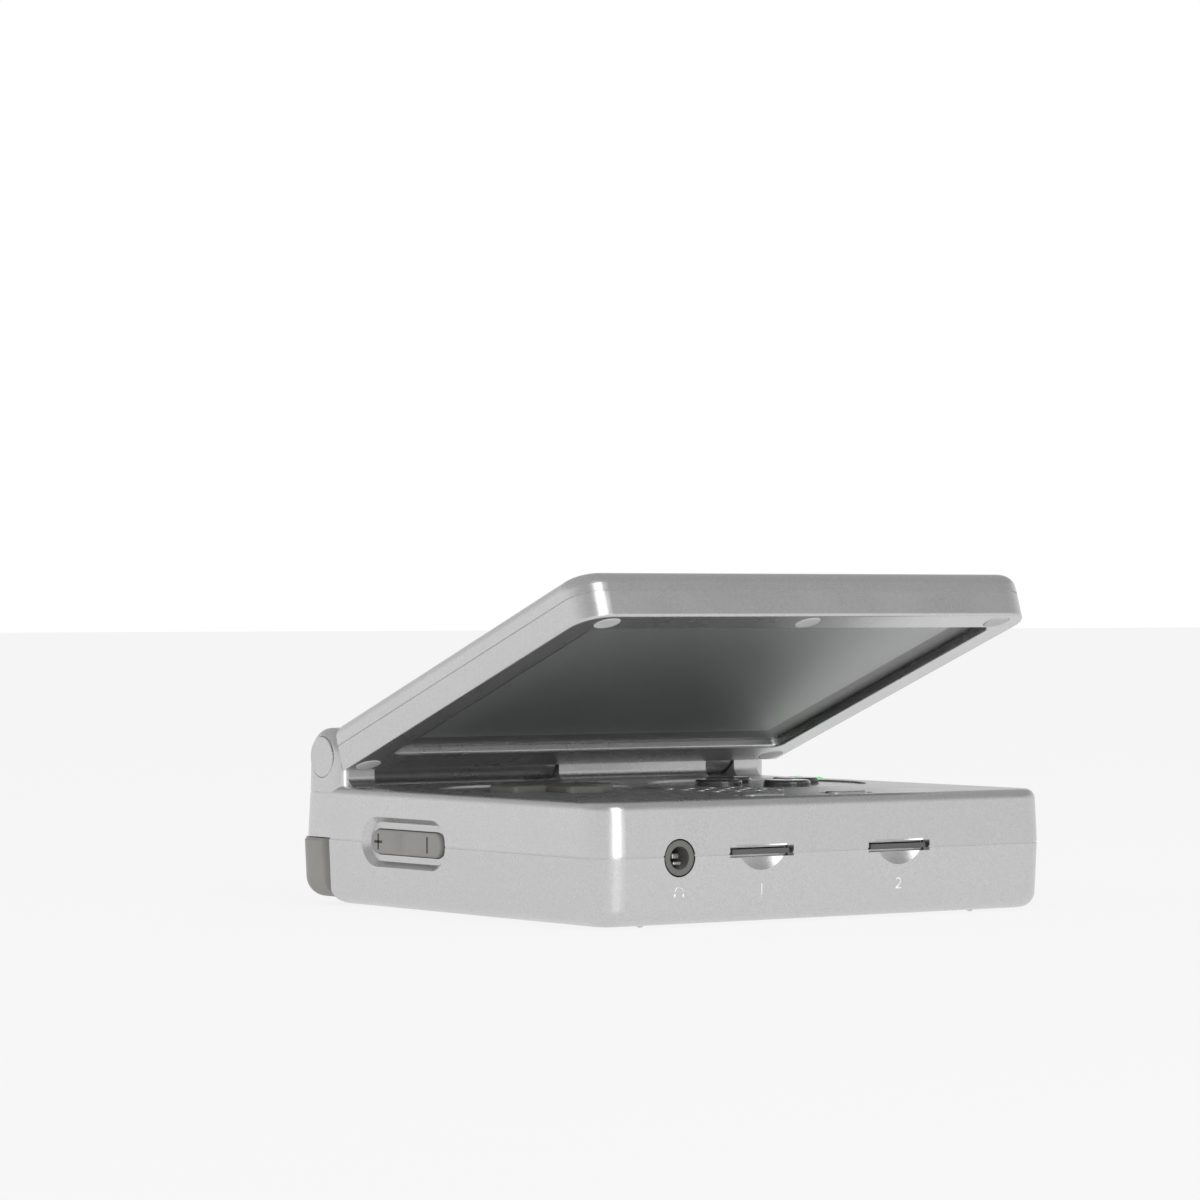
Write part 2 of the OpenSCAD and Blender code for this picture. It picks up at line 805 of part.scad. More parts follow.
// The wells, holes and recesses of the controls
module control_wells() {
    for (s = [-1, 1]) translate([s * cluster_x, cluster_y, well_z])
        cylinder(h = recess_d + cut, r = recess_r);
    translate([-cluster_x, cluster_y, roof_z - cut]) linear_extrude(roof_t + 2 * cut)
        cross_outline(dpad_span + 2 * dpad_gap, dpad_arm + 2 * dpad_gap);
    for (spot = button_spots) {
        translate([cluster_x + spot.x * button_ring, cluster_y + spot.y * button_ring, roof_z - cut])
            cylinder(h = roof_t + 2 * cut, r = button_r + button_gap);
    }
    for (s = [-1, 1]) translate([s * pill_x, pill_y, 0]) {
        translate([0, 0, top_z - pill_recess_d]) linear_extrude(cut)
            pill_outline(pill_l + 2 * pill_rim, pill_w + 2 * pill_rim);
        translate([0, 0, roof_z - cut]) linear_extrude(roof_t + cut)
            pill_outline(pill_l + 2 * button_gap, pill_w + 2 * button_gap);
    }
}

// A cross of two bars
module cross_outline(span, arm) {
    square([span, arm], center = true);
    square([arm, span], center = true);
}

// The square grid of speaker holes
module speaker_grid() {
    span = (speaker_holes - 1) * speaker_pitch;
    for (i = [0:speaker_holes - 1], j = [0:speaker_holes - 1]) {
        translate([i * speaker_pitch - span / 2, -speaker_y + j * speaker_pitch - span / 2, roof_z - cut])
            cylinder(h = roof_t + 2 * cut, r = speaker_hole_r, $fn = 24);
    }
}

// The two notches for the light windows in the right upper edge
module light_cut(grow) {
    for (s = [-1, 1]) {
        y = light_y + s * light_pitch / 2;
        reach = light_w / 2 + grow;
        block([half_w - 2.6 - grow, y - reach, top_z - light_w - grow],
            [half_w + cut, y + reach, top_z + cut]);
    }
}

// ---- Inside the base ----

module case_screws() {
    color(steel) at_screws() screw(base_z + screw_sink, roof_z - 1.5, screw_head_r, screw_head_h);
}

// A screw that stands on its head at height z0 and reaches up to z1
module screw(z0, z1, head_r, head_h) {
    difference() {
        union() {
            translate([0, 0, z0]) cylinder(h = head_h, r = head_r);
            translate([0, 0, z0]) cylinder(h = z1 - z0, r = screw_r);
        }
        for (a = [0, 90]) rotate(a) translate([-head_r * 0.6, -0.2, z0 - cut])
            cube([head_r * 1.2, 0.4, cut + head_h * 0.5]);
    }
}

module main_board() {
    y0 = -half_d + wall + 0.6;
    y1 = cavity_y1 - 0.3;
    w = console_w - 2 * wall - 2 * board_edge;
    volume_reach = volume_rim_l / 2 + 2.25;
    jack_reach = jack_body_w / 2 + 0.4;
    color(board_green) difference() {
        union() {
            translate([0, (y0 + y1) / 2, board_z]) round_plate(w, y1 - y0, inner_r - 0.6, board_t);
            block([-bay_x + wall + 0.4, y1 - 1, board_z],
                [bay_x - wall - 0.4, half_d - wall - 0.4, board_top]);
        }
        at_screws() translate([0, 0, board_z - cut]) cylinder(h = board_t + 2 * cut, r = screw_r + 0.3);
        block([-jack_x - jack_reach, y0 - cut, board_z - cut],
            [-jack_x + jack_reach, -half_d + jack_depth + 3.4, board_top + cut]);
        block([-half_w, volume_y - volume_reach, board_z - cut],
            [-half_w + volume_recess + volume_wall + 2.05, volume_y + volume_reach, board_top + cut]);
        block([power_switch_x + 0.3, reset_y - reset_r - 2, board_z - cut],
            [half_w, power_y + power_l / 2 + 2, board_top + cut]);
    }
}

module processor_shield() {
    color(steel) translate([shield_x, shield_y, board_z - seat_gap - shield_h]) difference() {
        round_plate(shield_w, shield_l, 1, shield_h);
        translate([0, 0, shield_skin])
            round_plate(shield_w - 2 * shield_skin, shield_l - 2 * shield_skin, 1 - shield_skin, shield_h);
    }
}

module battery() {
    color("#3a4a6b") translate([battery_x, battery_y, floor_z + seat_gap])
        round_plate(battery_w, battery_l, 2, battery_h);
}

module speaker() {
    color(black) translate([0, -speaker_y, board_top + seat_gap]) {
        round_plate(speaker_w, speaker_l, 3, speaker_h * 0.6);
        translate([0, 0, speaker_h * 0.6])
            round_plate(speaker_w - 1.6, speaker_l - 1.2, 3, speaker_h * 0.4);
    }
}

module speaker_mesh() {
    color("#303134") translate([0, -speaker_y, roof_z - seat_gap - speaker_mesh_t])
        round_plate(speaker_w - 1, speaker_l - 0.4, 3, speaker_mesh_t);
}

module headphone_socket() {
    color("#b5b3ad") difference() {
        union() {
            translate([-jack_x - jack_body_w / 2, -half_d + wall + 0.1, jack_height - jack_body_h / 2])
                cube([jack_body_w, jack_depth + 1, jack_body_h]);
            translate([-jack_x, -half_d + 0.1, jack_height]) rotate([-90, 0, 0])
                cylinder(h = wall + 0.2, r = jack_collar_r);
        }
        translate([-jack_x, -half_d - cut, jack_height]) rotate([-90, 0, 0])
            cylinder(h = jack_depth + cut, r = jack_r);
    }
}

module card_socket_1() {
    card_socket(slots_x[0]);
}

module card_socket_2() {
    card_socket(slots_x[1]);
}

// A spring-loaded card socket under the board
module card_socket(x) {
    z0 = slot_height - 1.1;
    color(steel) difference() {
        block([x - socket_w / 2, socket_front, z0],
            [x + socket_w / 2, socket_front + socket_l, board_z - seat_gap]);
        block([x - card_w / 2 - 0.2, socket_front - cut, slot_height - card_t / 2 - 0.15],
            [x + card_w / 2 + 0.2, card_face_y + card_l + 0.5, slot_height + card_t / 2 + 0.15]);
    }
}

module memory_card_1() {
    memory_card(slots_x[0]);
}

module memory_card_2() {
    memory_card(slots_x[1]);
}

// A small memory card with its stepped side
module memory_card(x) {
    color("#3d3e40") translate([x, card_face_y, slot_height - card_t / 2]) linear_extrude(card_t) polygon([
        [-card_w / 2, 0], [card_w / 2, 0], [card_w / 2, card_l * 0.55], [card_w / 2 - 0.9, card_l * 0.6],
        [card_w / 2 - 0.9, card_l * 0.75], [card_w / 2 - 1.6, card_l * 0.82], [card_w / 2 - 1.6, card_l],
        [-card_w / 2 + 0.6, card_l], [-card_w / 2, card_l - 0.6]
    ]);
}

module usb_socket() {
    color(steel) translate([usb_x, half_d - port_sink, rear_socket_z]) rotate([90, 0, 0]) {
        difference() {
            linear_extrude(usb_l) pill_outline(usb_w, usb_h);
            translate([0, 0, -cut]) linear_extrude(usb_l - 1 + cut)
                pill_outline(usb_w - 2 * socket_skin, usb_h - 2 * socket_skin);
        }
        translate([-3.35, -0.35, 1]) cube([6.7, 0.7, usb_l - 1.5]);
    }
}

module video_socket() {
    color(steel) translate([video_x, half_d - port_sink, rear_socket_z]) rotate([90, 0, 0]) {
        difference() {
            linear_extrude(usb_l) video_outline(0);
            translate([0, 0, -cut]) linear_extrude(usb_l - 1 + cut) video_outline(-socket_skin);
        }
        translate([-4, -0.5, 1]) cube([8, 0.8, usb_l - 1.5]);
    }
}

module light_windows() {
    color("#53b557") intersection() {
        upper_form();
        light_cut(0);
    }
}

// A silicone sheet on the board: the child is its outline, with a dome at each spot
module key_sheet(at, spots, dome_h) {
    color("#8e9093") translate([at.x, at.y, board_top + 0.02]) {
        linear_extrude(membrane_t) children();
        for (spot = spots) translate([spot.x, spot.y, 0])
            cylinder(h = dome_h, r1 = dome_r, r2 = dome_tip_r);
    }
}

module dpad_membrane() {
    spots = [for (s = button_spots) s * dpad_dome_ring];
    key_sheet([-cluster_x, cluster_y], spots, dpad_dome_h) difference() {
        circle(sheet_r);
        circle(ball_r + 0.5);
    }
}

module button_membrane() {
    spots = [for (s = button_spots) s * button_ring];
    key_sheet([cluster_x, cluster_y], spots, key_dome_h) circle(sheet_r);
}

module pill_membrane() {
    key_sheet([0, pill_y], [[-pill_x, 0], [pill_x, 0]], key_dome_h)
        square([2 * pill_x + pill_l, pill_w + 3.4], center = true);
}

// A small push switch under the board, its plunger along the child's own y
module push_switch(h) {
    translate([-switch_w / 2, -switch_d, -switch_w / 2]) cube([switch_w, switch_d, h]);
    rotate([-90, 0, 0]) cylinder(h = switch_tip_l, r = switch_tip_r);
}

module volume_switches() {
    z = base_z + volume_z;
    x = -half_w + volume_recess + volume_wall + 2.35;
    color(steel) for (s = [-1, 1]) translate([x, volume_y + s * volume_switch_dy, z]) rotate(90)
        push_switch(board_z - seat_gap - z + switch_w / 2);
}

module power_switches() {
    z = base_z + power_z;
    color(steel) for (y = [power_y, reset_y]) translate([power_switch_x, y, z]) rotate(-90)
        push_switch(board_z - seat_gap - z + switch_w / 2);
}

module shoulder_switches() {
    tip_y = shoulder_front_y - 0.1;
    color(steel) for (x = shoulder_posts) {
        translate([x, cavity_y1 - 0.15, shoulder_post_z])
            push_switch(board_z - seat_gap - shoulder_post_z + switch_w / 2);
        translate([x, cavity_y1 - 0.5, shoulder_post_z]) rotate([-90, 0, 0])
            cylinder(h = tip_y - cavity_y1 + 0.5, r = switch_tip_r);
    }
}

module shoulder_pins() {
    color(steel) for (side = [-1, 1], s = [0, 1])
        translate([side * shoulder_pin_x[s], shoulder_pin_y, tab_z])
            cylinder(h = part_z + 2 - tab_z, r = shoulder_pin_r);
}

// ---- Hinge ----

module hinge_pin_left() {
    color(steel) along_axis(-lug_side + 1.3, -ear_in + pin_grip, hinge_pin_r);
}

module hinge_pin_middle() {
    color(steel) along_axis(block_x0 - pin_grip, block_x0 + pin_grip - 0.1, hinge_pin_r);
}

module hinge_pin_right() {
    color(steel) along_axis(shaft_end_x + 0.3, lug_side - 1.3, hinge_pin_r);
}

module hinge_clutch() {
    color("#6d7074") difference() {
        along_axis(block_x1 - clutch_l + 0.1, block_x1 - 0.2, clutch_r);
        along_axis(block_x1 - clutch_grip - 0.2, block_x1 + cut, hinge_pin_r + pin_fit);
    }
}

module clutch_shaft() {
    color(steel) in_lid() lid_axis_bar(block_x1 - clutch_grip, shaft_end_x, hinge_pin_r);
}

module hinge_cap_left() {
    mirror([1, 0, 0]) hinge_cap_right();
}

// A cap with a soft edge in the end of a hinge ear
module hinge_cap_right() {
    color(silver) translate([lug_side, hinge_y, hinge_z]) rotate([0, 90, 0])
        rotate_extrude() falling_profile(cap_r, -0.75, 0.1, 0, 0.2);
}

// ---- Controls ----

module dpad_ball() {
    color(steel) translate([-cluster_x, cluster_y, dpad_flange_z]) sphere(ball_r);
}

module dpad() {
    edge_r = 0.5;
    dish_r = 9;
    dish_d = 0.45;
    color(warm_grey) translate([-cluster_x, cluster_y, 0]) difference() {
        union() {
            for (size = [[dpad_span, dpad_arm], [dpad_arm, dpad_span]]) {
                swept(size.x / 2, size.y / 2, 1, dpad_flange_z, control_z)
                    falling_profile(1, dpad_flange_z, control_z, 0, edge_r);
            }
            translate([0, 0, dpad_flange_z]) cylinder(h = dpad_flange_t, r = dpad_flange_r);
        }
        translate([0, 0, control_z - dish_d + dish_r]) sphere(dish_r);
        translate([0, 0, dpad_flange_z]) sphere(ball_r + 0.05);
    }
}

module button_1() {
    face_button(button_spots[0]);
}

module button_2() {
    face_button(button_spots[1]);
}

module button_3() {
    face_button(button_spots[2]);
}

module button_4() {
    face_button(button_spots[3]);
}

// A round face button with its collar under the roof
module face_button(spot) {
    edge_r = 0.5;
    color(dark_key) translate([cluster_x + spot.x * button_ring, cluster_y + spot.y * button_ring, 0]) {
        rotate_extrude() falling_profile(button_r, button_foot_z, control_z, 0, edge_r);
        translate([0, 0, button_flange_z - key_flange]) cylinder(h = key_flange, r = button_r + 1);
    }
}

module select_button() {
    pill_button(-pill_x);
}

module start_button() {
    pill_button(pill_x);
}

// A pill button with its collar under the roof
module pill_button(x) {
    z0 = board_top + 1.5;
    z1 = top_z + pill_proud;
    color(silver) translate([x, pill_y, 0]) {
        soft_pill(pill_l, pill_w, z0, z1, 0.5);
        translate([0, 0, button_flange_z - key_flange]) linear_extrude(key_flange)
            pill_outline(pill_l + 1.6, pill_w + 1.6);
    }
}

// An upright pill along x with a round upper edge
module soft_pill(l, w, z0, z1, edge_r) {
    reach = (l - w) / 2;
    for (s = [-1, 1]) translate([s * reach, 0, 0]) rotate_extrude()
        falling_profile(w / 2, z0, z1, 0, edge_r);
    rotate([90, 0, 90]) linear_extrude(2 * reach, center = true) {
        falling_profile(w / 2, z0, z1, 0, edge_r);
        mirror([1, 0]) falling_profile(w / 2, z0, z1, 0, edge_r);
    }
}

module volume_key() {
    face_x = -half_w + volume_recess - volume_proud;
    back_x = -half_w + volume_recess + volume_wall + 0.45;
    notch = 0.35;
    notch_y = 1.75;
    notch_steep = 2.2;
    notch_flat = 5.4;
    color(warm_grey) difference() {
        union() {
            translate([0, volume_y, base_z + volume_z]) rotate([0, -90, 0]) rotate(90)
                soft_pill(volume_l, volume_h, -back_x - 0.8, -face_x, 0.35);
            translate([back_x, volume_y, base_z + volume_z])
                side_pill(volume_l + 1.2, volume_h + 1.4, 0.8);
        }
        translate([face_x, volume_y + notch_y, base_z]) linear_extrude(part_z + 5)
            polygon([[notch, 0], [-notch, notch_steep], [-notch, -notch_flat]]);
    }
}

module power_button() {
    inner_x = power_back_x - power_flange;
    color(warm_grey) {
        translate([0, power_y, base_z + power_z]) rotate([0, 90, 0]) rotate(90)
            soft_pill(power_l, power_h, inner_x, half_w + power_proud, 0.4);
        translate([inner_x, power_y, base_z + power_z])
            side_pill(power_l + 1.6, power_h + 1.6, power_flange);
    }
}

module reset_button() {
    inner_x = power_back_x - power_flange;
    color(warm_grey) translate([inner_x, reset_y, base_z + power_z]) rotate([0, 90, 0]) {
        cylinder(h = half_w - 0.4 - inner_x, r = reset_r);
        cylinder(h = power_flange, r = reset_r + 0.8);
    }
}

module shoulder_left_outer() {
    mirror([1, 0, 0]) shoulder_button(0);
}

module shoulder_left_inner() {
    mirror([1, 0, 0]) shoulder_button(1);
}

module shoulder_right_inner() {
    shoulder_button(1);
}

module shoulder_right_outer() {
    shoulder_button(0);
}

// A hollow shoulder button on the right: 0 is the outer one, 1 the inner one
module shoulder_button(s) {
    x0 = shoulder_x[s][0];
    x1 = shoulder_x[s][1];
    pin_x = shoulder_pin_x[s];
    rear_y = half_d + shoulder_proud;
    hub_z = tab_z + tab_t + 0.1;
    bevel = s == 0 ? shoulder_bevel : 0.4;
    reach = s == 0 ? 1 : 0;
    outer_wall = s == 0 ? shoulder_wall : 1.2;
    color(warm_grey) difference() {
        union() {
            difference() {
                intersection() {
                    swept(half_w, rear_y, corner_r, shoulder_low_z, shoulder_high_z)
                        rising_profile(corner_r, shoulder_low_z, shoulder_high_z, lower_draft,
                            shoulder_edge_r, 0.4, 0.2);
                    linear_extrude(part_z) polygon([
                        [x0, shoulder_front_y], [x1 - bevel, shoulder_front_y],
                        [x1 + reach, shoulder_front_y + bevel + reach],
                        [x1 + reach, rear_y + cut], [x0, rear_y + cut]
                    ]);
                }
                block([x0 + shoulder_wall, shoulder_front_y - cut, shoulder_low_z + 1.6],
                    [x1 - outer_wall, rear_y - shoulder_wall, shoulder_high_z - 1.4]);
            }
            translate([pin_x, shoulder_pin_y, hub_z])
                cylinder(h = shoulder_high_z - hub_z - 0.5, r = shoulder_pin_r + shoulder_hub);
            block([pin_x - 0.6, shoulder_pin_y + 1, hub_z],
                [pin_x + 0.6, rear_y - 1, shoulder_high_z - 1]);
            block([pin_x + shoulder_post_dx - 0.8, shoulder_post_y, shoulder_post_z - 1],
                [pin_x + shoulder_post_dx + 0.8, rear_y - 1, shoulder_post_z + 1]);
        }
        translate([pin_x, shoulder_pin_y, 0]) cylinder(h = part_z, r = shoulder_pin_r + pin_fit);
    }
}

// ---- Lid ----

// Turns the lid from shut to the angle at which it stands
module in_lid() {
    translate([0, hinge_y, hinge_z]) rotate([-open_deg, 0, 0]) children();
}

// A round bar on the lid's own axis
module lid_axis_bar(x0, x1, r) {
    translate([x0, 0, 0]) rotate([0, 90, 0]) cylinder(h = x1 - x0, r = r);
}

// Cuts the child to the lid's rear face, whose edge is round at height z1 if up, else at z0
module lid_rear_trim(z0, z1, r, up) {
    zc = up ? z1 - r : z0 + r;
    intersection() {
        children();
        rotate([90, 0, 90]) linear_extrude(console_w + 2, center = true) {
            translate([-lid_len - 1, z0 - cut]) square([lid_len + 1 - lid_rear - r, z1 - z0 + 2 * cut]);
            translate([-lid_rear - r - 0.5, up ? z0 - cut : zc]) square([r + 0.5, z1 - z0 - r + cut]);
            translate([-lid_rear - r, zc]) circle(r);
        }
    }
}

// The half of the lid between z0 and z1, whose corner profile is the child
module lid_slab(z0, z1) {
    over = lid_corner_r + 3;
    hd = (lid_len - lid_rear + over) / 2;
    translate([0, -lid_len + hd, 0]) swept(lid_side, hd, lid_corner_r, z0, z1) children();
}

// The lid's barrels and the webs that carry them, cut to between z0 and z1
module lid_barrels(z0, z1) {
    for (span = [[barrel_left_x0, barrel_left_x1], [barrel_right_x0, barrel_right_x1]]) intersection() {
        union() {
            lid_axis_bar(span[0], span[1], barrel_r);
            block([span[0], -lid_rear - 1, -web_t], [span[1], 0, web_t]);
        }
        block([span[0] - cut, -lid_rear - 2, z0], [span[1] + cut, barrel_r + cut, z1]);
    }
}

// The bores in the lid's barrels and the hollow for the ribbon
module lid_bores() {
    lid_axis_bar(barrel_left_x0 - cut, -ear_in + pin_grip + 0.4, hinge_pin_r + pin_fit);
    lid_axis_bar(block_x0 - pin_grip - 0.4, barrel_left_x1 + cut, hinge_pin_r + pin_fit);
    lid_axis_bar(barrel_right_x0 - cut, shaft_end_x + 0.1, hinge_pin_r + 0.02);
    lid_axis_bar(shaft_end_x, barrel_right_x1 + cut, hinge_pin_r + pin_fit);
    lid_axis_bar(ribbon_x - ribbon_w / 2 - 1, ribbon_x + ribbon_w / 2 + 1, ribbon_r + 0.3);
}

// Places the child at each bumper pad
module at_pads() {
    for (x = [-pad_front_x, 0, pad_front_x]) translate([x, -lid_len + pad_front, 0]) children();
    for (s = [-1, 1]) translate([s * pad_rear_x, -lid_rear - pad_rear, 0]) children();
}

// A plate centred on the window
module window_plate(w, l, r, z0, z1) {
    translate([0, window_y, z0]) round_plate(w, l, r, z1 - z0);
}

module lid_bezel() {
    color(silver_lid) in_lid() difference() {
        union() {
            lid_rear_trim(lid_in, lid_part, 0.5, false) lid_slab(lid_in, lid_part)
                rising_profile(lid_corner_r, lid_in, lid_part, lid_draft, 0.5, 0.2, 0.15);
            lid_barrels(-barrel_r - cut, lid_part);
        }
        window_plate(window_w, window_l, window_r, lid_in - cut, lid_part + cut);
        window_flare();
        window_plate(window_w + glass_seat, window_l + glass_seat, 1, glass_z, lid_part + cut);
        at_pads() {
            translate([0, 0, lid_in - cut]) cylinder(h = cut + pad_seat, r = pad_r + pad_gap);
            translate([0, 0, lid_in])
                cylinder(h = lid_screw_sink + lid_screw_head_h + 0.1, r = lid_screw_head_r + 0.1);
            translate([0, 0, lid_in]) cylinder(h = bezel_t + cut, r = screw_r + 0.1);
        }
        lid_bores();
    }
}

// The rounded lip of the screen window
module window_flare() {
    edge = window_r + window_lip_r;
    z1 = lid_in + window_lip_r - 0.02;
    translate([0, window_y, 0]) swept(window_w / 2, window_l / 2, window_r, lid_in - cut, z1) difference() {
        translate([0, lid_in - cut]) square([edge, z1 - lid_in + cut]);
        translate([edge - 0.02, z1]) circle(window_lip_r);
    }
}

module lid_cover() {
    y0 = -lid_len + lid_inset;
    y1 = -lid_rear - lid_inset;
    clear_h = cover_t - cover_wall + cut;
    color(silver) in_lid() difference() {
        union() {
            lid_rear_trim(lid_part, lid_out, lid_rear_r, true) lid_slab(lid_part, lid_out)
                falling_profile(lid_corner_r, lid_part, lid_out, lid_draft, lid_edge_r);
            lid_barrels(lid_part, barrel_r + cut);
        }
        difference() {
            translate([0, (y0 + y1) / 2, lid_part - cut])
                round_plate(2 * (lid_side - lid_inset), y1 - y0, lid_cavity_r, clear_h);
            at_pads() cylinder(h = 2 * cover_t, r = lid_boss_r, center = true);
        }
        at_pads() translate([0, 0, lid_part - cut]) cylinder(h = clear_h, r = screw_r + 0.02);
        lid_bores();
        block([ribbon_x - ribbon_w / 2 - 0.5, y1 - 1, lid_part - cut],
            [ribbon_x + ribbon_w / 2 + 0.5, -2, 1]);
    }
}

module screen_glass() {
    color("#56585b") in_lid() window_plate(window_w + 2 * glass_lap, window_l + 2 * glass_lap, 1,
        glass_z + 0.02, glass_z + glass_t);
}

module display_panel() {
    z0 = glass_z + glass_t + seat_gap;
    color("#3c4046") in_lid() window_plate(panel_w, panel_l, 1, z0, z0 + panel_t);
}

module lid_pads() {
    h = pad_t + pad_proud;
    color("#c6c7c8") in_lid() at_pads() translate([0, 0, lid_in + pad_t]) rotate([180, 0, 0])
        rotate_extrude() falling_profile(pad_r, 0, h, 0, 0.15);
}

module lid_screws() {
    color(steel) in_lid() at_pads()
        screw(lid_in + lid_screw_sink, lid_out - cover_wall - 0.2, lid_screw_head_r, lid_screw_head_h);
}

module lid_magnet() {
    y = -lid_len + lid_inset + 0.3;
    color(steel) in_lid() block([magnet_x, y, lid_part + seat_gap],
        [magnet_x + magnet_l, y + magnet_w, lid_part + magnet_h]);
}

module display_ribbon() {
    z = lid_part + 0.15;
    color("#c77b2a") in_lid() {
        block([ribbon_x - ribbon_w / 2, window_y + panel_l / 2 + 0.1, z],
            [ribbon_x + ribbon_w / 2, -ribbon_r + 0.1, z + ribbon_t]);
        difference() {
            lid_axis_bar(ribbon_x - ribbon_w / 2, ribbon_x + ribbon_w / 2, ribbon_r);
            lid_axis_bar(ribbon_x - ribbon_w, ribbon_x + ribbon_w, ribbon_r - ribbon_t);
        }
    }
}

bottom_shell();
top_shell();
hinge_housing();
case_screws();
main_board();
processor_shield();
battery();
speaker();
speaker_mesh();
headphone_socket();
card_socket_1();
card_socket_2();
usb_socket();
video_socket();
light_windows();
dpad_membrane();
button_membrane();
pill_membrane();
volume_switches();
shoulder_switches();
power_switches();
shoulder_pins();
hinge_pin_left();
hinge_pin_middle();
hinge_pin_right();
hinge_clutch();
hinge_cap_left();
hinge_cap_right();
dpad_ball();
dpad();
button_1();
button_2();
button_3();
button_4();
select_button();
start_button();
volume_key();
power_button();
reset_button();
shoulder_left_outer();
shoulder_left_inner();
shoulder_right_inner();
shoulder_right_outer();
memory_card_1();
memory_card_2();
lid_bezel();
lid_cover();
screen_glass();
display_panel();
lid_pads();
lid_screws();
lid_magnet();
display_ribbon();
clutch_shaft();
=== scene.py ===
import bmesh
import bpy
import math
from mathutils import Matrix, Vector


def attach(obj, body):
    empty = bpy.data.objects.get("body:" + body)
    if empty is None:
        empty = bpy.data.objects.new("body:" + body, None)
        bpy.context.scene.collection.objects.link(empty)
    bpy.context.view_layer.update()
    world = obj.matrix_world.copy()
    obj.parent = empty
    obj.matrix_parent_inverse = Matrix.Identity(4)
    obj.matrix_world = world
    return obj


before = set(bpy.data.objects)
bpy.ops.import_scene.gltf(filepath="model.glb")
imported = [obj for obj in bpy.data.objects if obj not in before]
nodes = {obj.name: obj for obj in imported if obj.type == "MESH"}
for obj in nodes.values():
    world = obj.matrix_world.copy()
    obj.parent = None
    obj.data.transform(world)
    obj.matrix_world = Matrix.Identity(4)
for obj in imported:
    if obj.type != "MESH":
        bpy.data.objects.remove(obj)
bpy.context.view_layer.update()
mm = 0.001

# the viewpoint of the photograph
camera = {
    "place": (-0.451389, -0.611746, 0.049649), "turn": (90.018, 0.0, -35.579),
    "lens": 140.14, "sensor": 36.0, "nearest": 0.01,
}


def buildCamera():
    data = bpy.data.cameras.new("photoCamera")
    data.lens = camera["lens"]
    data.sensor_width = camera["sensor"]
    data.clip_start = camera["nearest"]
    rig = bpy.data.objects.new("photoCamera", data)
    rig.location = camera["place"]
    rig.rotation_euler = [math.radians(a) for a in camera["turn"]]
    bpy.context.scene.collection.objects.link(rig)
    bpy.context.scene.camera = rig


softbox = {"place": (-0.04, -1.0, 0.4), "aim": (0, 0, 0.02), "size": (0.6, 0.9), "power": 4.2}


def buildSoftbox():
    light = bpy.data.lights.new("frontSoftbox", "AREA")
    light.shape = "RECTANGLE"
    light.size, light.size_y = softbox["size"]
    light.energy = softbox["power"]
    stand = bpy.data.objects.new("frontSoftbox", light)
    stand.location = softbox["place"]
    aim = Vector(softbox["aim"]) - Vector(softbox["place"])
    stand.rotation_euler = aim.to_track_quat("-Z", "Y").to_euler()
    bpy.context.scene.collection.objects.link(stand)


# strength at the horizon and overhead, the sines of height between which it
# changes, and how much brighter one side is
surround = {
    "horizon": 0.89, "zenith": 0.47, "horizonSine": 0.08, "zenithSine": 0.5,
    "brightSide": (-0.58, 0.81), "sideways": 0.09,
}


def buildSurround():
    world = bpy.data.worlds.new("studio")
    world.use_nodes = True
    bpy.context.scene.world = world
    tree = world.node_tree
    tree.nodes.clear()
    out = tree.nodes.new("ShaderNodeOutputWorld")
    path = tree.nodes.new("ShaderNodeLightPath")
    coord = tree.nodes.new("ShaderNodeTexCoord")
    split = tree.nodes.new("ShaderNodeSeparateXYZ")
    height = tree.nodes.new("ShaderNodeMapRange")
    height.interpolation_type = "SMOOTHSTEP"
    height.inputs["From Min"].default_value = surround["horizonSine"]
    height.inputs["From Max"].default_value = surround["zenithSine"]
    height.inputs["To Min"].default_value = surround["horizon"]
    height.inputs["To Max"].default_value = surround["zenith"]
    seen = tree.nodes.new("ShaderNodeBackground")
    sky = tree.nodes.new("ShaderNodeBackground")
    for lit in (seen, sky):
        lit.inputs["Color"].default_value = (1, 1, 1, 1)
    around = tree.nodes.new("ShaderNodeVectorMath")
    around.operation = "DOT_PRODUCT"
    around.inputs[1].default_value = (*[a * surround["sideways"] for a in surround["brightSide"]], 0)
    bright = tree.nodes.new("ShaderNodeMath")
    bright.operation = "ADD"
    direct = tree.nodes.new("ShaderNodeMath")
    direct.operation = "MAXIMUM"
    mixSeen = tree.nodes.new("ShaderNodeMixShader")
    link = tree.links.new
    link(coord.outputs["Generated"], split.inputs[0])
    link(split.outputs["Z"], height.inputs["Value"])
    link(coord.outputs["Generated"], around.inputs[0])
    link(height.outputs["Result"], bright.inputs[0])
    link(around.outputs["Value"], bright.inputs[1])
    link(bright.outputs[0], sky.inputs["Strength"])
    link(path.outputs["Is Camera Ray"], direct.inputs[0])
    link(path.outputs["Is Transmission Ray"], direct.inputs[1])
    link(direct.outputs[0], mixSeen.inputs["Fac"])
    link(sky.outputs[0], mixSeen.inputs[1])
    link(seen.outputs[0], mixSeen.inputs[2])
    link(mixSeen.outputs[0], out.inputs["Surface"])


# grey of the paper, and its share of plain white as the camera and as
# polished surfaces see it
floorPaper = {"reach": 6.0, "grey": 0.8, "seenWhite": 0.85, "mirroredWhite": 0.8}


